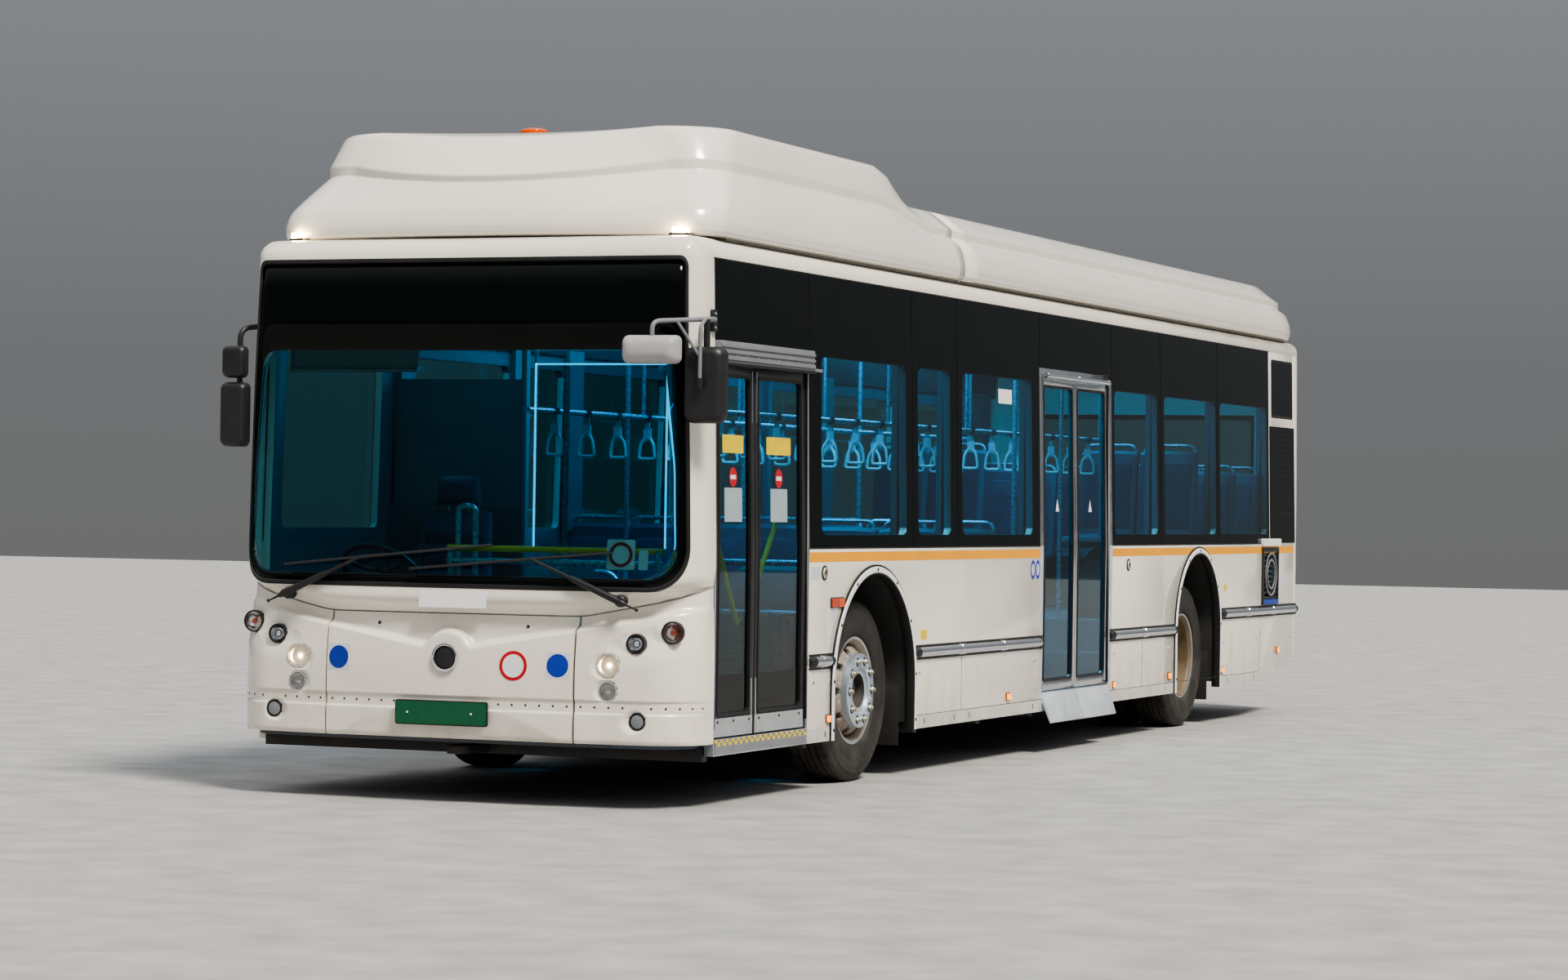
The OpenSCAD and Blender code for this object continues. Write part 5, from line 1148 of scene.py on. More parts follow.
# Doors
LEAVES = {"front_a": (0.102, 0.614), "front_b": (0.624, 1.314), "mid_a": (5.304, 5.98), "mid_b": (5.99, 6.666)}
LEAF_SINK, PANE_SINK = 0.012, 0.0235
LABEL_Z = 1.835


def leaf_trim(leaf):
    """Glazing bead, kick plate, brush strips and marks of a door leaf."""
    p = Piece("leaf_trim_" + leaf, "door_" + leaf)
    front = leaf.startswith("front")
    s0, s1 = LEAVES[leaf]
    z0, z1, kick = (0.353, 2.23, 0.11) if front else (0.39, 2.36, 0.06)
    meet, side = (s1, 1) if leaf.endswith("a") else (s0, -1)
    fn, on_glass = on_side(1, sink=LEAF_SINK), on_side(1, sink=PANE_SINK)
    a, b, c, d = s0 + 0.046, s1 - 0.046, z0 + kick, z1 - 0.046
    mid = (s0 + s1) / 2

    def bead(grow, r):
        return rect(a - grow, b + grow, c - grow, d + grow, r, arc=5, cuts=[0, 10, 0, 10])
    p.add(ring_prism(bead(0.004, 0.034), bead(-0.01, 0.024), fn, 0.0, 0.003), "seal")
    p.add(ring_prism(bead(-0.008, 0.026), bead(-0.014, 0.022), fn, -0.012, 0.001), "seal")
    # Rubber fingers along the meeting edge
    p.slab("seal", fn, meet - side * 0.012, meet + side * 0.0045, z0 + 0.01, z1 - 0.01, -0.03, -0.004)
    if front:
        p.slab("aluminium", fn, meet - side * 0.03, meet - side * 0.018, z0 + 0.02, z1 - 0.02, -0.001, 0.003)
        p.slab("aluminium", fn, s0 + 0.01, s1 - 0.01, z0 + 0.004, z0 + kick - 0.012, 0.0, 0.0025, 0.004)
        for t in (0.1, 0.5, 0.9):
            c0 = (HALF_W - LEAF_SINK + 0.0025, s0 + (s1 - s0) * t, z0 + kick * 0.72)
            p.add(disc(c0, (1, 0, 0), 0.007, 0.003, 14, 0.001), "iron")
        # Black band low on the glass: painted shade of the dark inside seen through the pane
        p.slab("frit", on_glass, a + 0.014, b - 0.014, c + 0.012, c + 0.2, 0.0, 0.0004, 0.01)
        # Blank labels on the glass
        w = 0.33 if s1 - s0 > 0.6 else 0.27
        p.slab("yellow", on_glass, mid - w / 2, mid + w / 2, LABEL_Z - 0.046, LABEL_Z + 0.046, 0.0, 0.0006, 0.008)
        p.add(prism(circle(0.05), on_side(1, mid, LABEL_Z - 0.168, PANE_SINK), 0.0, 0.0006), "red")
        p.slab("white", on_glass, mid - 0.034, mid + 0.034, LABEL_Z - 0.179, LABEL_Z - 0.157, 0.0, 0.001, 0.003, 2)
        p.slab("pale", on_glass, mid - 0.115, mid + 0.115, LABEL_Z - 0.395, LABEL_Z - 0.222, 0.0, 0.0006, 0.006)
    else:
        for s in (s0 + 0.012, s1 - 0.012):
            p.slab("chrome", fn, s - 0.006, s + 0.006, z0 + 0.02, z1 - 0.02, -0.001, 0.004)
        p.add(prism([(mid - 0.035, 1.52), (mid + 0.035, 1.52), (mid, 1.6)], on_glass, 0.0, 0.0006), "white")
    p.done("black_plastic" if front else "aluminium", [], bevel=0.0008, segments=1)


def door_bars(leaf):
    """A sloping grab bar inside a front leaf."""
    p = Piece("leaf_bars_" + leaf, "door_" + leaf)
    s0, s1 = LEAVES[leaf]
    x = HALF_W - 0.075
    a, b, low, high = (s0 + 0.07, s1 - 0.08, 1.44, 0.92) if leaf == "front_a" else (s0 + 0.1, s1 - 0.22, 1.07, 1.5)
    path = bent([(x + 0.022, a, low), (x, a + 0.01, low), (x, b - 0.01, high), (x + 0.022, b, high)], 0.05)
    p.add(tube(path, 0.014, 14), "yellow")
    for s, z in ((a, low), (b, high)):
        p.add(disc((x + 0.03, s, z), (-1, 0, 0), 0.024, 0.012, 20, 0.002), "plastic")
    p.done("black_plastic", [], smooth=40)


def doorway_trim():
    """Rails over the doors, sills, thresholds and post covers."""
    p = Piece("doorway_trim")
    # Ribbed grey rail over the front door, with a flange that runs on over the first pane
    x = HALF_W + 0.014
    for z, h in ((2.256, 0.018), (2.288, 0.014), (2.318, 0.014)):
        p.add(block(x - 0.001, x + 0.007, 0.082, 1.338, z, z + h), "case")
    p.add(block(side_x(2.25) - 0.001, x + 0.002, 1.336, 1.452, 2.24, 2.256), "case")
    p.add(block(HALF_W - 0.02, x + 0.01, 0.082, 1.338, 2.228, 2.242), "seal")
    for s in np.arange(0.14, 1.33, 0.14):
        p.add(disc((x, s, 2.279), (1, 0, 0), 0.005, 0.002, 12, 0.001), "zinc")
    # Chequered edge of the front sill, and the thresholds
    count, pitch = 34, 1.232 / 34
    for i in range(count):
        for k in (0, 1):
            a, z = 0.092 + pitch * i, 0.313 + 0.017 * k
            p.add(block(HALF_W + 0.0002, HALF_W + 0.0025, a, a + pitch, z, z + 0.017),
                  "yellow" if (i + k) % 2 else "case")
    p.add(block(HALF_W + 0.0002, HALF_W + 0.002, 0.092, 1.324, 0.272, 0.311), "case")
    for s0, s1, z in ((0.09, 1.326, 0.344), (5.292, 6.678, 0.381)):
        p.add(block(HALF_W - 0.045, HALF_W + 0.003, s0, s1, z, z + 0.005), "aluminium")
    # Two tubes over the middle door
    z, r = 2.374, 0.015
    x = side_x(z) + r * 0.7
    for s0, s1 in ((5.34, 5.97), (6.0, 6.63)):
        p.add(tube([(x, s0, z), (x, s1, z)], r, 20), "chrome")
        for s in (s0, s1):
            p.add(tube([(x, s - 0.008, z), (x, s + 0.008, z)], r + 0.003, 20), "aluminium")
    # Rubber strips beside the doors
    for s, top in ((0.09, 2.236), (1.326, 2.236), (5.292, 2.366), (6.678, 2.366)):
        p.slab("seal", on_side(1), s - 0.005, s + 0.005, 0.4, top, -0.025, 0.001)
    p.done("aluminium", [], bevel=0.001, segments=1)


# Mirrors and wipers
def mirror_head(p, x0, x1, s, z0, z1, depth, tilt, mat="plastic"):
    """A domed housing that faces forwards, with its glass towards the rear."""
    w, h = x1 - x0, z1 - z0

    def face(inset, r):
        return rect(inset - w / 2, w / 2 - inset, inset - h / 2, h / 2 - inset, min(w, h) * r, arc=6)

    def place(u, v, k):
        return (x0 + x1) / 2 + u, s + k + u * tilt, (z0 + z1) / 2 + v
    p.add(loft([[place(u, v, k * depth) for u, v in face(shrink * w / 2, 0.22 - shrink * 0.25)] for shrink, k in
                ((0.35, 0.0), (0.18, 0.1), (0.07, 0.28), (0.015, 0.55), (0.0, 0.8), (0.0, 1.0))]), mat)
    p.add(prism(face(0.012, 0.2), place, depth - 0.004, depth + 0.0025), "mirror")


def mirrors():
    """Arms with brackets and clamps, then the mirror heads."""
    p = Piece("mirror_arms")
    for path, corner, r, n, mat in (
            ([(1.286, 0.05, 2.45), (1.345, -0.18, 2.44), (1.345, -0.18, 2.3)], 0.06, 0.014, 16, "case"),
            ([(1.345, -0.18, 2.44), (1.345, -0.18, 1.955)], 0.0, 0.0165, 16, "plastic"),
            ([(1.345, -0.2, 2.44), (1.345, -0.262, 2.4), (1.345, -0.262, 2.11)], 0.03, 0.01, 12, "case"),
            ([(1.345, -0.262, 2.145), (1.345, -0.262, 2.095)], 0.0, 0.019, 12, "plastic"),
            ([(1.245, -0.336, 2.432), (1.336, -0.262, 2.262)], 0.0, 0.008, 10, "case"),
            ([(1.345, -0.18, 2.44), (1.17, -0.452, 2.418), (1.17, -0.452, 2.33)], 0.05, 0.012, 16, "case"),
            ([(-1.286, 0.05, 2.43), (-1.35, -0.09, 2.41), (-1.35, -0.09, 1.85)], 0.06, 0.015, 16, "plastic")):
        p.add(tube(bent(path, corner), r, n), mat)
    for side in (1, -1):
        p.plate("plastic", on_side(side, 0.048, 2.445), 0.052, 0.112, 0.012, 0.0, 0.018)
        for v in (-0.035, 0.035):
            p.add(disc((side * (side_x(2.445) + 0.018), 0.048, 2.445 + v), (side, 0, 0), 0.007, 0.004, 6), "zinc")
    for x, s, z in ((1.345, -0.18, 2.2), (1.345, -0.18, 2.05), (-1.35, -0.09, 2.22), (-1.35, -0.09, 1.95)):
        p.add(tube([(x, s, z - 0.03), (x, s, z + 0.03)], 0.023, 18), "plastic")
    p.done("black_plastic", ["mirrors"], smooth=40)
    p = Piece("mirror_heads")
    mirror_head(p, 1.24, 1.45, -0.236, 1.925, 2.305, 0.072, 0.12)
    mirror_head(p, 1.02, 1.31, -0.505, 2.21, 2.35, 0.085, 0.1, "grey_plastic")
    mirror_head(p, -1.45, -1.285, -0.15, 1.79, 2.13, 0.07, -0.1)
    mirror_head(p, -1.44, -1.295, -0.15, 2.15, 2.32, 0.06, -0.1)
    p.done("black_plastic", ["mirrors"], smooth=45)


def wipers():
    """Arms on knurled pivots, with long blades that both rise to the bus's left."""
    p = Piece("wiper_arms")
    ts = [i / 16 for i in range(17)]
    for side, start, end, reach in ((-1, (-0.95, 1.187), (0.244, 1.306), 0.38),
                                    (1, (-0.21, 1.179), (0.887, 1.278), 0.62)):
        base = np.array(front_point(arc_of(side * 0.938), 1.04))
        out = np.array([side * 0.125, -0.992, 0.0])
        p.add(lathe([(0.03, -0.03), (0.03, 0.01), (0.026, 0.016), (0.021, 0.018), (0.021, 0.04), (0.017, 0.05),
                     (0, 0.052)], 28, base, out), "plastic")

        def on_blade(t, push, bow=0.0):
            return np.array(front_point(start[0] + (end[0] - start[0]) * t, start[1] + (end[1] - start[1]) * t,
                                        push - bow * math.sin(math.pi * t)))
        c, tip = base + out * 0.036, on_blade(reach, -0.046)
        back = unit(tip - c)
        p.add(tube([c + (tip - c) * t for t in (-0.07, 0.0, 0.15, 0.52, 0.58, 1.0)],
                   [0.012, 0.019, 0.019, 0.016, 0.01, 0.009], 12), "plastic")
        p.add(tube([c - back * d for d in (0.03, 0.1)], [0.007, 0.004], 10), "plastic")
        p.add(lathe([(0, -0.009), (0.008, -0.005), (0.009, 0.003), (0, 0.009)], 12, c - back * 0.105, AHEAD),
              "plastic")
        spine = [on_blade(t, -0.032, 0.012) for t in ts]
        p.add(tube(spine, 0.008, 8), "plastic")
        p.add(tube([on_blade(t, -0.022, 0.01) for t in ts], 0.005, 6), "plastic")
        edge, lip = [on_blade(t, -0.012) for t in ts], [on_blade(t, -0.004) for t in ts]
        strip = [[(x, y, z + d) for x, y, z in row] for row, d in
                 ((edge, 0.004), (lip, 0.001), (lip, -0.001), (edge, -0.004))]
        p.add(sheet(strip + [strip[0]]), "seal")
        for i in (1, 5, 11, 15):
            p.add(tube([spine[i], edge[i]], 0.005, 6), "plastic")
        p.add(tube([tip, spine[8]], 0.009, 8), "plastic")
    p.done("black_plastic", ["wipers"], smooth=40)


# Inside
def pad(w, h, t, seams, to3d, taper=0.0, n=12, rows=20):
    """A stuffed pad: flat below, crowned above, its sides pulled in between the corners, with sewn channels."""
    def point(u, v, top):
        x = u * w / 2 * (1 - 0.022 * (1 - v * v)) * (1 - taper * (v + 1) / 2) * (1 - 0.03 * v ** 8)
        y = v * h / 2 * (1 - 0.022 * (1 - u * u)) * (1 - 0.03 * u ** 8)
        k = 0.0
        if top:
            k = t * (0.42 + 0.58 * ((1 - u ** 4) * (1 - v ** 4)) ** 0.8)
            k -= t * sum(0.3 * math.exp(-((v - c) / 0.045) ** 2) for c in seams) * (1 - u ** 8)
            k -= t * 0.16 * math.exp(-((abs(u) - 0.72) / 0.05) ** 2)
        return to3d(x, y, k)
    us = [math.sin(math.pi / 2 * (2 * i / n - 1)) for i in range(n + 1)]
    rings = []
    for v in [math.sin(math.pi / 2 * (2 * i / rows - 1)) for i in range(rows + 1)]:
        rings.append([point(u, v, False) for u in us] + [point(u, v, True) for u in reversed(us)])
    return loft(rings)


def seat(p, cushions, backs, x, y, z):
    """A moulded seat with a padded cushion and back."""
    half, w = 0.21, 0.35
    side = [(0.0, 0.405), (0.015, 0.432), (0.05, 0.442), (0.22, 0.428), (0.4, 0.425), (0.435, 0.445), (0.455, 0.55),
            (0.49, 0.85), (0.515, 1.04), (0.54, 1.062), (0.556, 1.045), (0.545, 0.9), (0.505, 0.55), (0.485, 0.405),
            (0.44, 0.388), (0.2, 0.392), (0.03, 0.392)]
    rings = []
    for t in (-1, -0.97, -0.85, -0.5, 0, 0.5, 0.85, 0.97, 1):
        pinch = 0.012 * t ** 6
        rings.append([(x + half * t, y + u + pinch, z + v - pinch) for u, v in side])
    p.add(loft(rings), "shell")
    cushions.add(pad(w, 0.355, 0.034, (-0.34, 0.34), lambda u, v, k: (x + u, y + 0.222 + v, z + 0.424 + k)),
                 "fabric")
    backs.add(pad(w, 0.48, 0.026, (-0.3, 0.3), lambda u, v, k:
                  (x + u, y + 0.476 + v * 0.125 - k, z + 0.74 + v)), "fabric")
    g = half - 0.02
    frame = [(x - g, y + 0.545, z + 0.9), (x - g, y + 0.57, z + 1.1), (x + g, y + 0.57, z + 1.1),
             (x + g, y + 0.545, z + 0.9)]
    p.add(tube(bent(frame, 0.06), 0.012, 10), "rail")


def seats():
    """Pairs of seats on pedestals or on the rear wheel housings, and the rear bench."""
    p, cushions, backs = Piece("seat_units"), Piece("seat_cushions"), Piece("seat_back_pads")
    housing = 0.906
    rows = [(s, FLOOR_Z, x) for x, stations in ((0.8, (3.12, 4.0)), (-0.8, (3.12, 4.0, 4.88, 5.9))) for s in stations]
    rows += [(s, z, x) for x in (0.8, -0.8) for s, z in ((8.42, housing), (9.44, HIGH_FLOOR_Z), (10.08, HIGH_FLOOR_Z))]
    for s, z, x in rows:
        for dx in (-0.221, 0.221):
            seat(p, cushions, backs, x + dx, s, z)
        p.add(block(x - 0.38, x + 0.38, s + 0.2, s + 0.26, z + 0.36, z + 0.394), "iron")
        if z != housing:
            p.add(tube([(x, s + 0.23, z), (x, s + 0.23, z + 0.365)], 0.03, 16), "rail")
            p.add(disc((x, s + 0.23, z), (0, 0, 1), 0.075, 0.006, 28, 0.002), "rail")
        else:
            p.add(block(x - 0.38, x + 0.38, s + 0.18, s + 0.42, 1.266, z + 0.394), "lining")
    for i in range(-2, 3):
        seat(p, cushions, backs, i * 0.438, REAR_Y - 0.915, HIGH_FLOOR_Z)
    p.add(block(-1.0, 1.0, REAR_Y - 0.715, REAR_Y - 0.655, HIGH_FLOOR_Z, HIGH_FLOOR_Z + 0.39), "lining")
    p.done("seat_plastic", ["seats"], smooth=35)
    for pads in (cushions, backs):
        pads.done("seat_fabric", ["seats"], smooth=60)


def driver_seat():
    """Pedestal with bellows, cushions, shell, armrests and headrest."""
    p = Piece("driver_seat_unit")
    x, y = DRIVER_X, 0.56
    p.add(block(x - 0.19, x + 0.19, y + 0.12, y + 0.42, FLOOR_Z, 0.62), "plastic")
    for i in range(7):
        z, f = 0.62 + 0.02 * i, 1 - 0.012 * (i % 2)
        p.add(loft([[(x + u * f, y + 0.27 + v * f, h) for u, v in rect(-0.17, 0.17, -0.15, 0.15, 0.03)]
                    for h in (z, z + 0.02)]), "plastic")
    for name, w, h, t, seams, taper, to3d in (
            ("driver_cushion", 0.5, 0.5, 0.115, (-0.2, 0.45), 0.0, lambda u, v, k: (x + u, y + 0.25 + v, 0.765 + k)),
            ("driver_back_pad", 0.5, 0.62, 0.105, (-0.45, 0.0, 0.45), 0.22, lambda u, v, k:
             (x + u, y + 0.625 + v * 0.16 - k, 1.165 + v)),
            ("driver_headrest", 0.27, 0.165, 0.085, (), 0.1, lambda u, v, k: (x + u, y + 0.66 - k, 1.58 + v))):
        q = Piece(name)
        q.add(pad(w, h, t, seams, to3d, taper, 20, 28), "fabric")
        q.done("seat_fabric", ["driver_seat"], smooth=70)
    # Shell behind the back, and the posts of the headrest
    p.add(loft([[(x + u * f, y + 0.628 + (z - 1.165) * 0.16 + d, z) for u, d in
                 rect(-0.235, 0.235, 0.0, 0.045, 0.02, arc=4)]
                for z, f in ((0.86, 0.9), (0.9, 1.0), (1.2, 0.96), (1.42, 0.84), (1.47, 0.74))]), "plastic")
    p.add(block(x - 0.23, x + 0.23, y + 0.02, y + 0.48, 0.735, 0.766), "plastic")
    for dx in (-0.06, 0.06):
        p.add(tube([(x + dx, y + 0.655, 1.44), (x + dx, y + 0.64, 1.53)], 0.007, 10), "chrome")
    for u in (x - 0.27, x + 0.27):
        p.add(tube(bent([(u, y + 0.52, 0.92), (u, y + 0.5, 1.06), (u, y + 0.18, 1.07)], 0.04), 0.022, 12), "plastic")
    p.done("black_plastic", ["driver_seat"], bevel=0.004, smooth=50)


def dashboard():
    """Desk behind the windscreen, with hood, dials, switches and steering wheel."""
    p = Piece("dashboard_unit")
    side_view = [(-0.15, 0.7), (-0.19, 0.9), (-0.205, 1.02), (-0.18, 1.062), (-0.06, 1.085), (0.03, 1.095),
                 (0.08, 1.075), (0.165, 1.015), (0.178, 0.98), (0.165, 0.72), (0.14, 0.7)]
    p.add(loft([[(x, max(s, plan_point(arc_of(x))[1] + 0.135), z) for s, z in side_view]
                for x in np.linspace(-1.19, -0.2, 16)]), "plastic")
    p.add(block(-1.1, -0.3, -0.06, 0.06, FLOOR_Z, 0.72), "plastic")
    p.add(sheet([[(DRIVER_X - 0.24 * math.cos(t), 0.02 + d, 1.075 + 0.075 * math.sin(t)) for d in (0.0, 0.14)]
                 for t in np.linspace(0, math.pi, 14)]), "plastic")
    for x in (DRIVER_X - 0.12, DRIVER_X + 0.12):
        p.add(disc((x, 0.095, 1.095), (0, 0.94, 0.34), 0.048, 0.006, 32, 0.002), "case")
        p.add(disc((x, 0.102, 1.0975), (0, 0.94, 0.34), 0.042, 0.001, 32), "white")
    for i in range(8):
        for x in (-1.1 + 0.034 * i, -0.52 + 0.034 * i):
            p.add(block(x, x + 0.026, 0.1, 0.13, 1.058, 1.066), "case")
    p.add(tube([(DRIVER_X, 0.12, 0.9), (DRIVER_X, 0.33, 1.13)], 0.03, 20), "plastic")
    turn = Matrix.Translation((DRIVER_X, 0.34, 1.14)) @ Matrix.Rotation(math.radians(-42), 4, "X")
    p.add(turned(lathe([(0.215 + u, v) for u, v in circle(0.015, 14)], 64, closed=True), turn), "plastic")
    for a in (90, 210, 330):
        c, s = math.cos(math.radians(a)), math.sin(math.radians(a))
        p.add(turned(tube([(r * c, r * s, z) for r, z in ((0.04, -0.006), (0.12, -0.012), (0.208, 0))],
                          [0.016, 0.012, 0.01], 10), turn), "plastic")
    p.add(turned(lathe([(0, 0.01), (0.045, 0.008), (0.06, 0.0), (0.055, -0.022), (0, -0.024)], 32), turn), "plastic")
    p.done("black_plastic", ["dashboard"], bevel=0.003, smooth=40)


def saloon_lights():
    """Two rows of lit strips along the ceiling."""
    p = Piece("saloon_lights")
    for side in (1, -1):
        for a, b in ((0.55, 3.6), (3.75, 6.8), (6.95, 10.9)):
            p.add(block(side * 0.74, side * 0.86, a, b, 2.792, 2.812), "lining")
            p.add(block(side * 0.76, side * 0.84, a + 0.03, b - 0.03, 2.784, 2.794), "tube_lit")
    p.done("lamp_glass", [], bevel=0.002, segments=1)


def front_bulkhead():
    """Dark panel behind the front hatch, with ribs, a hose and a box."""
    p = Piece("front_bulkhead")
    p.add(block(-0.78, 0.78, -0.206, -0.196, 0.346, 0.905), "frame")
    for x in (-0.5, 0.0, 0.5):
        p.add(block(x - 0.03, x + 0.03, -0.214, -0.205, 0.36, 0.89), "frame")
    hose = [(x, -0.216, z) for x, z in ((-0.7, 0.45), (-0.2, 0.45), (-0.2, 0.8), (0.7, 0.8))]
    p.add(tube(bent(hose, 0.05), 0.009, 10), "plastic")
    p.add(block(0.16, 0.44, -0.224, -0.205, 0.44, 0.66), "case")
    p.add(disc((0.23, -0.224, 0.615), AHEAD, 0.026, 0.006, 20, 0.002), "blue")
    p.done("black_plastic", [], bevel=0.002, segments=1)


def ceiling():
    """Lining of the ceiling and of the posts between the panes."""
    p = Piece("ceiling_lining")
    rows = [(0.0, 2.816), (0.6, 2.816), (0.95, 2.8), (1.1, 2.74), (1.185, 2.6), (1.196, 2.42)]
    for side in (1, -1):
        p.add(sheet([[(side * x, y, z) for x, z in rows] for y in (0.12, 11.55)]), "lining")
        for a, b in ((1.4, 1.56), (2.83, 3.02), (3.58, 3.77), (5.09, 5.22), (6.75, 6.8), (7.8, 7.96), (9.28, 9.38),
                     (10.7, 11.4)):
            p.add(block(side * 1.19, side * 1.225, a, b, 1.36, 2.45), "lining")
    p.done("body_paint", [], smooth=30, solid=0.004, fix=False)


def straps():
    """Hanging straps along both rails, left out at the rails' brackets."""
    p = Piece("hanging_straps")
    for x in (0.5, -0.5):
        for s in np.arange(1.95, 8.9, 0.42):
            if abs((s - 1.7) % 1.45) < 0.06:
                continue
            for w, d, z0, z1, mat in ((0.014, 0.004, 1.9, 2.06, "grey_plastic"),
                                      (0.02, 0.02, 2.022, 2.06, "plastic")):
                p.add(block(x - w, x + w, s - d, s + d, z0, z1), mat)
            swing = s + 0.012 * math.sin(s * 5)
            path = [(x - 0.012, s, 1.925), (x - 0.04, swing, 1.885), (x - 0.052, swing, 1.795),
                    (x + 0.052, swing, 1.795), (x + 0.04, swing, 1.885), (x + 0.012, s, 1.925)]
            p.add(tube(bent(path, 0.022, 4), 0.009, 8), "white")
            p.add(block(x - 0.024, x + 0.024, s - 0.006, s + 0.006, 1.915, 1.975), "label")
    p.done("rail_paint", [], smooth=40)


def barriers():
    """Rails, screens and the extinguisher round the front door, and rails before the seats."""
    p = Piece("front_barriers")

    def rail(points, r=0.016, corner=0.0, mat="rail"):
        p.add(tube(bent(points, corner) if corner else points, r, 12), mat)
    for z, mat in ((1.22, "rail"), (0.95, "rail"), (1.285, "yellow")):
        rail([(-0.15, -0.02, z), (0.6, -0.05, z), (1.05, -0.02, z)], mat=mat)
    for x in (-0.13, 0.45, 1.03):
        rail([(x, -0.03, FLOOR_Z), (x, -0.03, 1.29)])
    rail([(-0.13, 0.05, FLOOR_Z), (-0.13, 0.05, 1.5), (-0.03, 0.05, 1.5), (-0.03, 0.05, FLOOR_Z)], 0.015, 0.04)
    rail([(0.3, 0.42, FLOOR_Z), (0.3, 0.42, 2.78)], 0.017)
    # Glass screen beside the front door, its edges lit with a painted highlight
    p.add(block(0.34, 1.06, -0.023, -0.017, 1.3, 2.22), "glass")
    for x0, x1, z0, z1 in ((0.334, 1.066, 2.22, 2.23), (0.33, 0.34, 1.3, 2.23), (1.06, 1.068, 1.3, 2.23)):
        p.add(block(x0, x1, -0.024, -0.016, z0, z1), "glow")
    # Extinguisher on the floor behind the front door
    p.add(lathe([(0, 0.36), (0.06, 0.36), (0.072, 0.38), (0.074, 0.8), (0.06, 0.86), (0.022, 0.89), (0.02, 0.93),
                 (0, 0.935)], 28, (1.13, 1.42, 0)), "red")
    p.add(tube(bent([(1.13, 1.42, 0.93), (1.13, 1.34, 0.95), (1.13, 1.335, 0.7)], 0.03), 0.011, 10), "plastic")
    for z in (0.95, 1.22):
        rail([(0.56, 1.45, z), (1.2, 1.45, z)])
    rail([(0.56, 1.45, FLOOR_Z), (0.56, 1.45, 1.35)])
    p.add(block(0.6, 1.19, 1.44, 1.46, 0.55, 1.18), "glass")
    for side in (1, -1):
        rail([(side * 0.56, 2.98, 1.05), (side * 0.62, 2.98, 1.12), (side * 1.15, 2.98, 1.12)], corner=0.05)
    p.done("rail_paint", [], smooth=40)


def behind_windscreen():
    """The driver's blind, the dark header and blank tags."""
    p = Piece("driver_blind")
    for reach, n, push, heights, mat in (((-1.08, -0.3), 14, 0.09, (2.19, 2.4, 2.7), "case"),
                                         ((-1.2, 1.2), 30, 0.075, (2.3, 2.7), "plastic")):
        p.add(sheet([[front_point(a, z, push) for a in np.linspace(*reach, n)] for z in heights]), mat)
    p.add(tube([front_point(a, 2.19, 0.09) for a in np.linspace(-1.08, -0.3, 10)], 0.01, 10), "case")
    p.done("black_plastic", [], solid=0.003, fix=False)
    p = Piece("windscreen_tags")
    for push, x, z, out, inn, mat in ((0.016, 0.926, 1.27, square(0.15, 0.15, 0.01), None, "white"),
                                      (0.012, 0.926, 1.27, circle(0.062), circle(0.047), "red"),
                                      (0.014, 1.045, 1.245, square(0.05, 0.1, 0.005), None, "white")):
        decal(p, lambda a, h, k: front_point(a, h, push + k), arc_of(x), z, [(out, inn, mat, 0.001)])
    p.done("body_paint", [], smooth=40)


# The rear
def rear_end():
    """Rear window, plate, reflectors, high lamp and handle."""
    p = Piece("rear_window_pane")

    def on_rear(u, v, k):
        return u, REAR_Y + k, v
    out, hole = rect(-0.968, 0.968, 1.522, 2.338, 0.012, arc=5), rect(-0.89, 0.89, 1.6, 2.26, 0.05, arc=5)
    p.add(ring_prism(out, hole, on_rear, -0.014, -0.006), "frit")
    p.add(prism(hole, on_rear, -0.014, -0.006), "glass")
    p.add(ring_prism(rect(-0.971, 0.971, 1.519, 2.341, 0.014, arc=5), out, on_rear, -0.012, -0.002), "seal")
    p.done("glass", ["rear_window"], bevel=0.001, segments=1)
    p = Piece("rear_plate")

    def plate(mat, z, *size):
        p.plate(mat, lambda u, v, k: on_rear(u, z + v, k), *size)
    plate("plastic", 0.5, 0.52, 0.12, 0.012, 0.0, 0.006)
    plate("green", 0.5, 0.508, 0.108, 0.01, 0.005, 0.008)
    for side in (1, -1):
        p.add(disc((side * 0.62, REAR_Y, 2.6), (0, 1, 0), 0.03, 0.012, 28, 0.003), "ruby")
        p.add(disc((side * 0.95, REAR_Y, 0.62), (0, 1, 0), 0.036, 0.01, 28, 0.003), "ruby")
    plate("ruby", 2.655, 0.4, 0.035, 0.008, 0.0, 0.012)
    plate("plastic", 1.3, 0.16, 0.022, 0.008, 0.012, 0.026)
    p.done("red_lens", [], bevel=0.0015)


def underside():
    """Tanks, pipes and hoses under the floor, fixed to the frame."""
    p = Piece("underside_fittings")
    for y in (3.42, 3.74, 4.06):
        p.add(lathe([(0, 0), (0.06, 0.004), (0.1, 0.02), (0.115, 0.05), (0.115, 0.65), (0.1, 0.68), (0.06, 0.696),
                     (0, 0.7)], 32, (-0.35, y, 0.175), (1, 0, 0)), "iron")
        for x in (-0.2, 0.2):
            p.add(lathe([(0.117, -0.012), (0.1185, -0.012), (0.1185, 0.012), (0.117, 0.012)], 32, (x, y, 0.175),
                        (1, 0, 0), closed=True), "zinc")
    for x, r in ((0.3, 0.012), (0.33, 0.008), (-0.31, 0.01)):
        path = [(x, s, 0.262) for s in (0.3, 2.0, 2.1, 7.7)] + [(x, 8.05, 0.62), (x, 8.3, 0.62)]
        p.add(tube(bent(path, 0.08), r, 8), "plastic")
    p.done("chassis_paint", [], smooth=40)


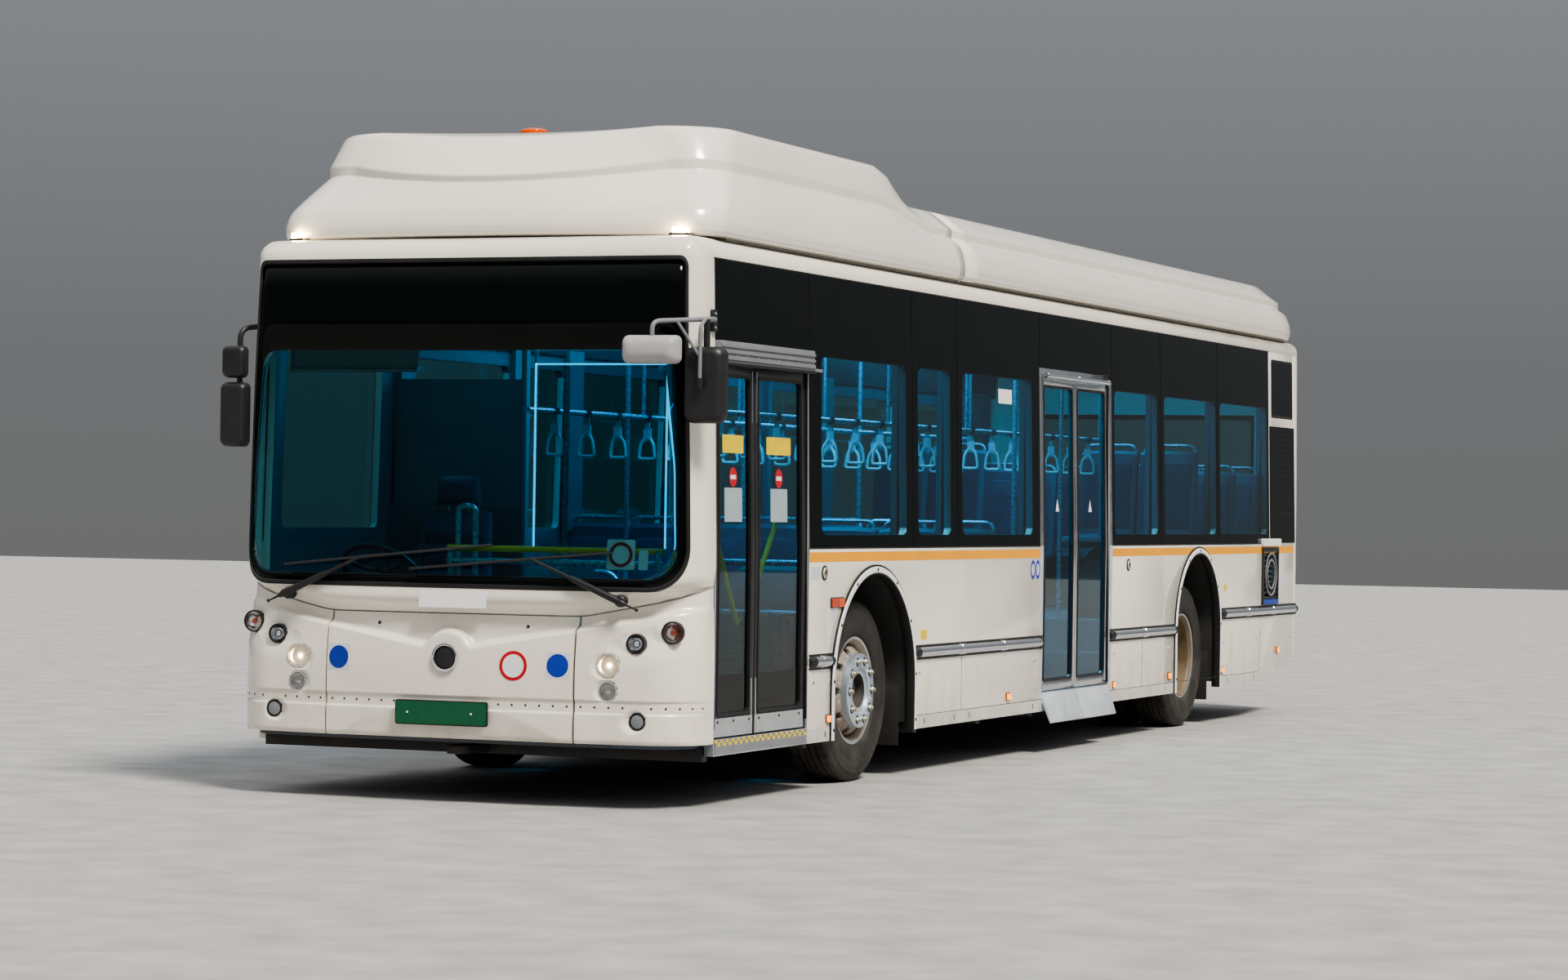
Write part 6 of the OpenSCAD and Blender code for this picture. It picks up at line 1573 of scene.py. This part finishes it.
# Put together
def region(o, mats, test):
    """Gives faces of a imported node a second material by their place, without changing its mesh."""
    base = len(o.data.materials)
    for m in mats:
        o.data.materials.append(M[m])
    world = o.matrix_world
    for f in o.data.polygons:
        c = world @ f.center
        k = test(c.x, c.y + ORIGIN, c.z)
        if k is not None:
            f.material_index = base + k


def hub_region(x, y, z):
    """Nut ring and middle of a steered wheel."""
    r = math.hypot(y - FRONT_AXLE, z - AXLE_Z)
    if r < 0.207 and abs(x) - WHEEL_X > 0.07:
        return 0 if r > 0.125 else 1
    return None


def wall_region(x, y, z):
    """Lined inside of a wall, and its dark faces in the wheel arches."""
    if abs(x) < 1.2985 and z < 1.25 and min(abs(y - FRONT_AXLE), abs(y - REAR_AXLE)) < 0.68:
        return 1
    return 0 if abs(x) < 1.26 and z < 2.75 and y < 10.8 else None


def doorway_region(x, y, z):
    """Cover over the front door, painted sill under it, and the middle door's sill."""
    if z > 2.236 and x > 1.27 and y < 1.35:
        return 0
    if y < 1.35 and z < 0.345 and x > 1.299:
        return 1
    return 2 if y > 5 and z < 0.372 and x > 1.29 else None


def body_parts():
    """Materials, and rounded edges where a width is given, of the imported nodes."""
    for names, mat, *edges in (
            # The chassis's near-black is partly painted shade under the mask
            ("chassis chassis_rear", "frame", 0.003), ("floor", "vinyl"), ("floor_high", "vinyl", 0.002),
            ("wheel_housings", "liner", 0.003), ("left_wall right_wall", "paint", 0.0015),
            ("roof rear_hatch", "paint", 0.002), ("rear_wall", "paint", 0.003), ("power_blocks", "case", 0.02),
            ("doorways", "aluminium", 0.002), ("door_front_a door_front_b", "plastic", 0.002),
            ("door_mid_a door_mid_b", "aluminium", 0.002),
            ("door_front_a_glass door_front_b_glass door_mid_a_glass door_mid_b_glass", "glass"),
            ("front_axle rear_axle knuckle_left knuckle_right", "iron", 0.004), ("rim_fl rim_fr", "wheel", 0.0015, 30),
            ("rim_rl rim_rr", "dusty_wheel", 0.0015, 30), ("partition", "lining", 0.003),
            ("handrails", "rail", 0.0, 40), ("side_vent", "plastic", 0.002)):
        for name in names.split():
            dress(name, mat, *edges)
    for names, mats, test in ((("left_wall", "right_wall"), ("lining", "liner"), wall_region),
                              (("doorways",), ("case", "paint", "plate"), doorway_region),
                              (("rim_fl", "rim_fr"), ("zinc", "iron"), hub_region)):
        for name in names:
            region(nodes[name], mats, test)


def stage():
    """Ground, sky, sun and the saloon's light of the picture."""
    scene = bpy.context.scene
    scene.view_settings.look = "AgX - Medium High Contrast"
    scene.view_settings.exposure = 0.28
    scene.world = bpy.data.worlds.new("sky")
    scene.world.use_nodes = True
    tree = scene.world.node_tree
    where = tree.nodes.new("ShaderNodeTexCoord").outputs["Generated"]
    split = shader_node(tree, "SeparateXYZ", {0: where})
    height = shader_node(tree, "MapRange", {0: split.outputs["Z"], 1: -1.0, 2: 1.0})
    ramp = shader_node(tree, "ValToRGB", {0: height.outputs[0]})
    stops = ramp.color_ramp.elements
    stops[0].position, stops[0].color = 0.48, (0.16, 0.16, 0.157, 1)
    stops[1].position, stops[1].color = 1.0, (0.95, 0.97, 1.0, 1)
    stops.new(0.52).color = (0.17, 0.175, 0.18, 1)
    stops.new(0.7).color = (0.42, 0.44, 0.47, 1)
    back = tree.nodes["Background"]
    tree.links.new(ramp.outputs[0], back.inputs["Color"])
    back.inputs["Strength"].default_value = 0.8
    sun = bpy.data.lights.new("sun", "SUN")
    sun.energy, sun.angle, sun.color = 3.4, math.radians(14), (1.0, 0.95, 0.87)
    placed("sun", sun).rotation_euler = (math.radians(36), math.radians(6), math.radians(50))
    mesh = bpy.data.meshes.new("ground")
    mesh.from_pydata([(-60, -60, 0), (60, -60, 0), (60, 60, 0), (-60, 60, 0)], [], [(0, 1, 2, 3)])
    mesh.materials.append(material("ground", (0.38, 0.37, 0.355), 0.75, tone=0.15, grain=3.0, bump=0.4, fine=120))
    placed("ground", mesh)
    for x, y, power, w in ((0.6, 0.9, 16, 0.7), (0, 3.2, 80, 1.4), (0, 6.0, 80, 1.4), (0, 9.4, 60, 1.4)):
        lamp = bpy.data.lights.new("saloon", "AREA")
        lamp.energy, lamp.color, lamp.shape, lamp.size, lamp.size_y = power, (0.06, 0.55, 1.0), "RECTANGLE", w, 2.0
        placed("saloon", lamp).location = (x, y - ORIGIN, 2.76)


def camera():
    """The camera of the photo."""
    yaw, pitch, roll = math.radians(22.21), math.radians(0.29), math.radians(0.866)
    ahead = Vector((-math.sin(yaw) * math.cos(pitch), math.cos(yaw) * math.cos(pitch), math.sin(pitch)))
    level = Vector((math.cos(yaw), math.sin(yaw), 0))
    up = level.cross(ahead)
    rows = (level * math.cos(roll) + up * math.sin(roll), up * math.cos(roll) - level * math.sin(roll), -ahead)
    m = Matrix(rows).transposed().to_4x4()
    m.translation = Vector((8.784, -22.9215, 1.508))
    data = bpy.data.cameras.new("camera")
    data.lens, data.sensor_width, data.sensor_fit = 87.1, 36.0, "HORIZONTAL"
    data.clip_end = 400
    o = placed("camera", data)
    o.matrix_world = m
    bpy.context.scene.camera = o


body_parts()
front_frame()
windscreen()
mask()
front_lamps()
side_panes(1, "left_pane", ["left_glass"])
side_panes(-1, "right_pane", ["right_glass"])
corner_glass()
tyre("tyre_front_left", "tyre_fl", "wheel_fl", FRONT_AXLE, [(WHEEL_X, 1)])
tyre("tyre_front_right", "tyre_fr", "wheel_fr", FRONT_AXLE, [(-WHEEL_X, -1)])
tyre("tyre_rear_left", "tyre_rl", "wheel_rl", REAR_AXLE, [(WHEEL_X, 1), (WHEEL_X - TWIN_PITCH, 1)])
tyre("tyre_rear_right", "tyre_rr", "wheel_rr", REAR_AXLE, [(-WHEEL_X, -1), (TWIN_PITCH - WHEEL_X, -1)])
front_wheel_extras(1, "wheel_fl")
front_wheel_extras(-1, "wheel_fr")
rear_wheel_extras(1, "wheel_rl")
rear_wheel_extras(-1, "wheel_rr")
pods()
roof_lights()
rub_rails()
arch_trims()
side_marks()
markers()
side_details()
for name in LEAVES:
    leaf_trim(name)
door_bars("front_a")
door_bars("front_b")
doorway_trim()
mirrors()
wipers()
seats()
driver_seat()
dashboard()
saloon_lights()
front_bulkhead()
ceiling()
straps()
barriers()
behind_windscreen()
rear_end()
underside()
stage()
camera()
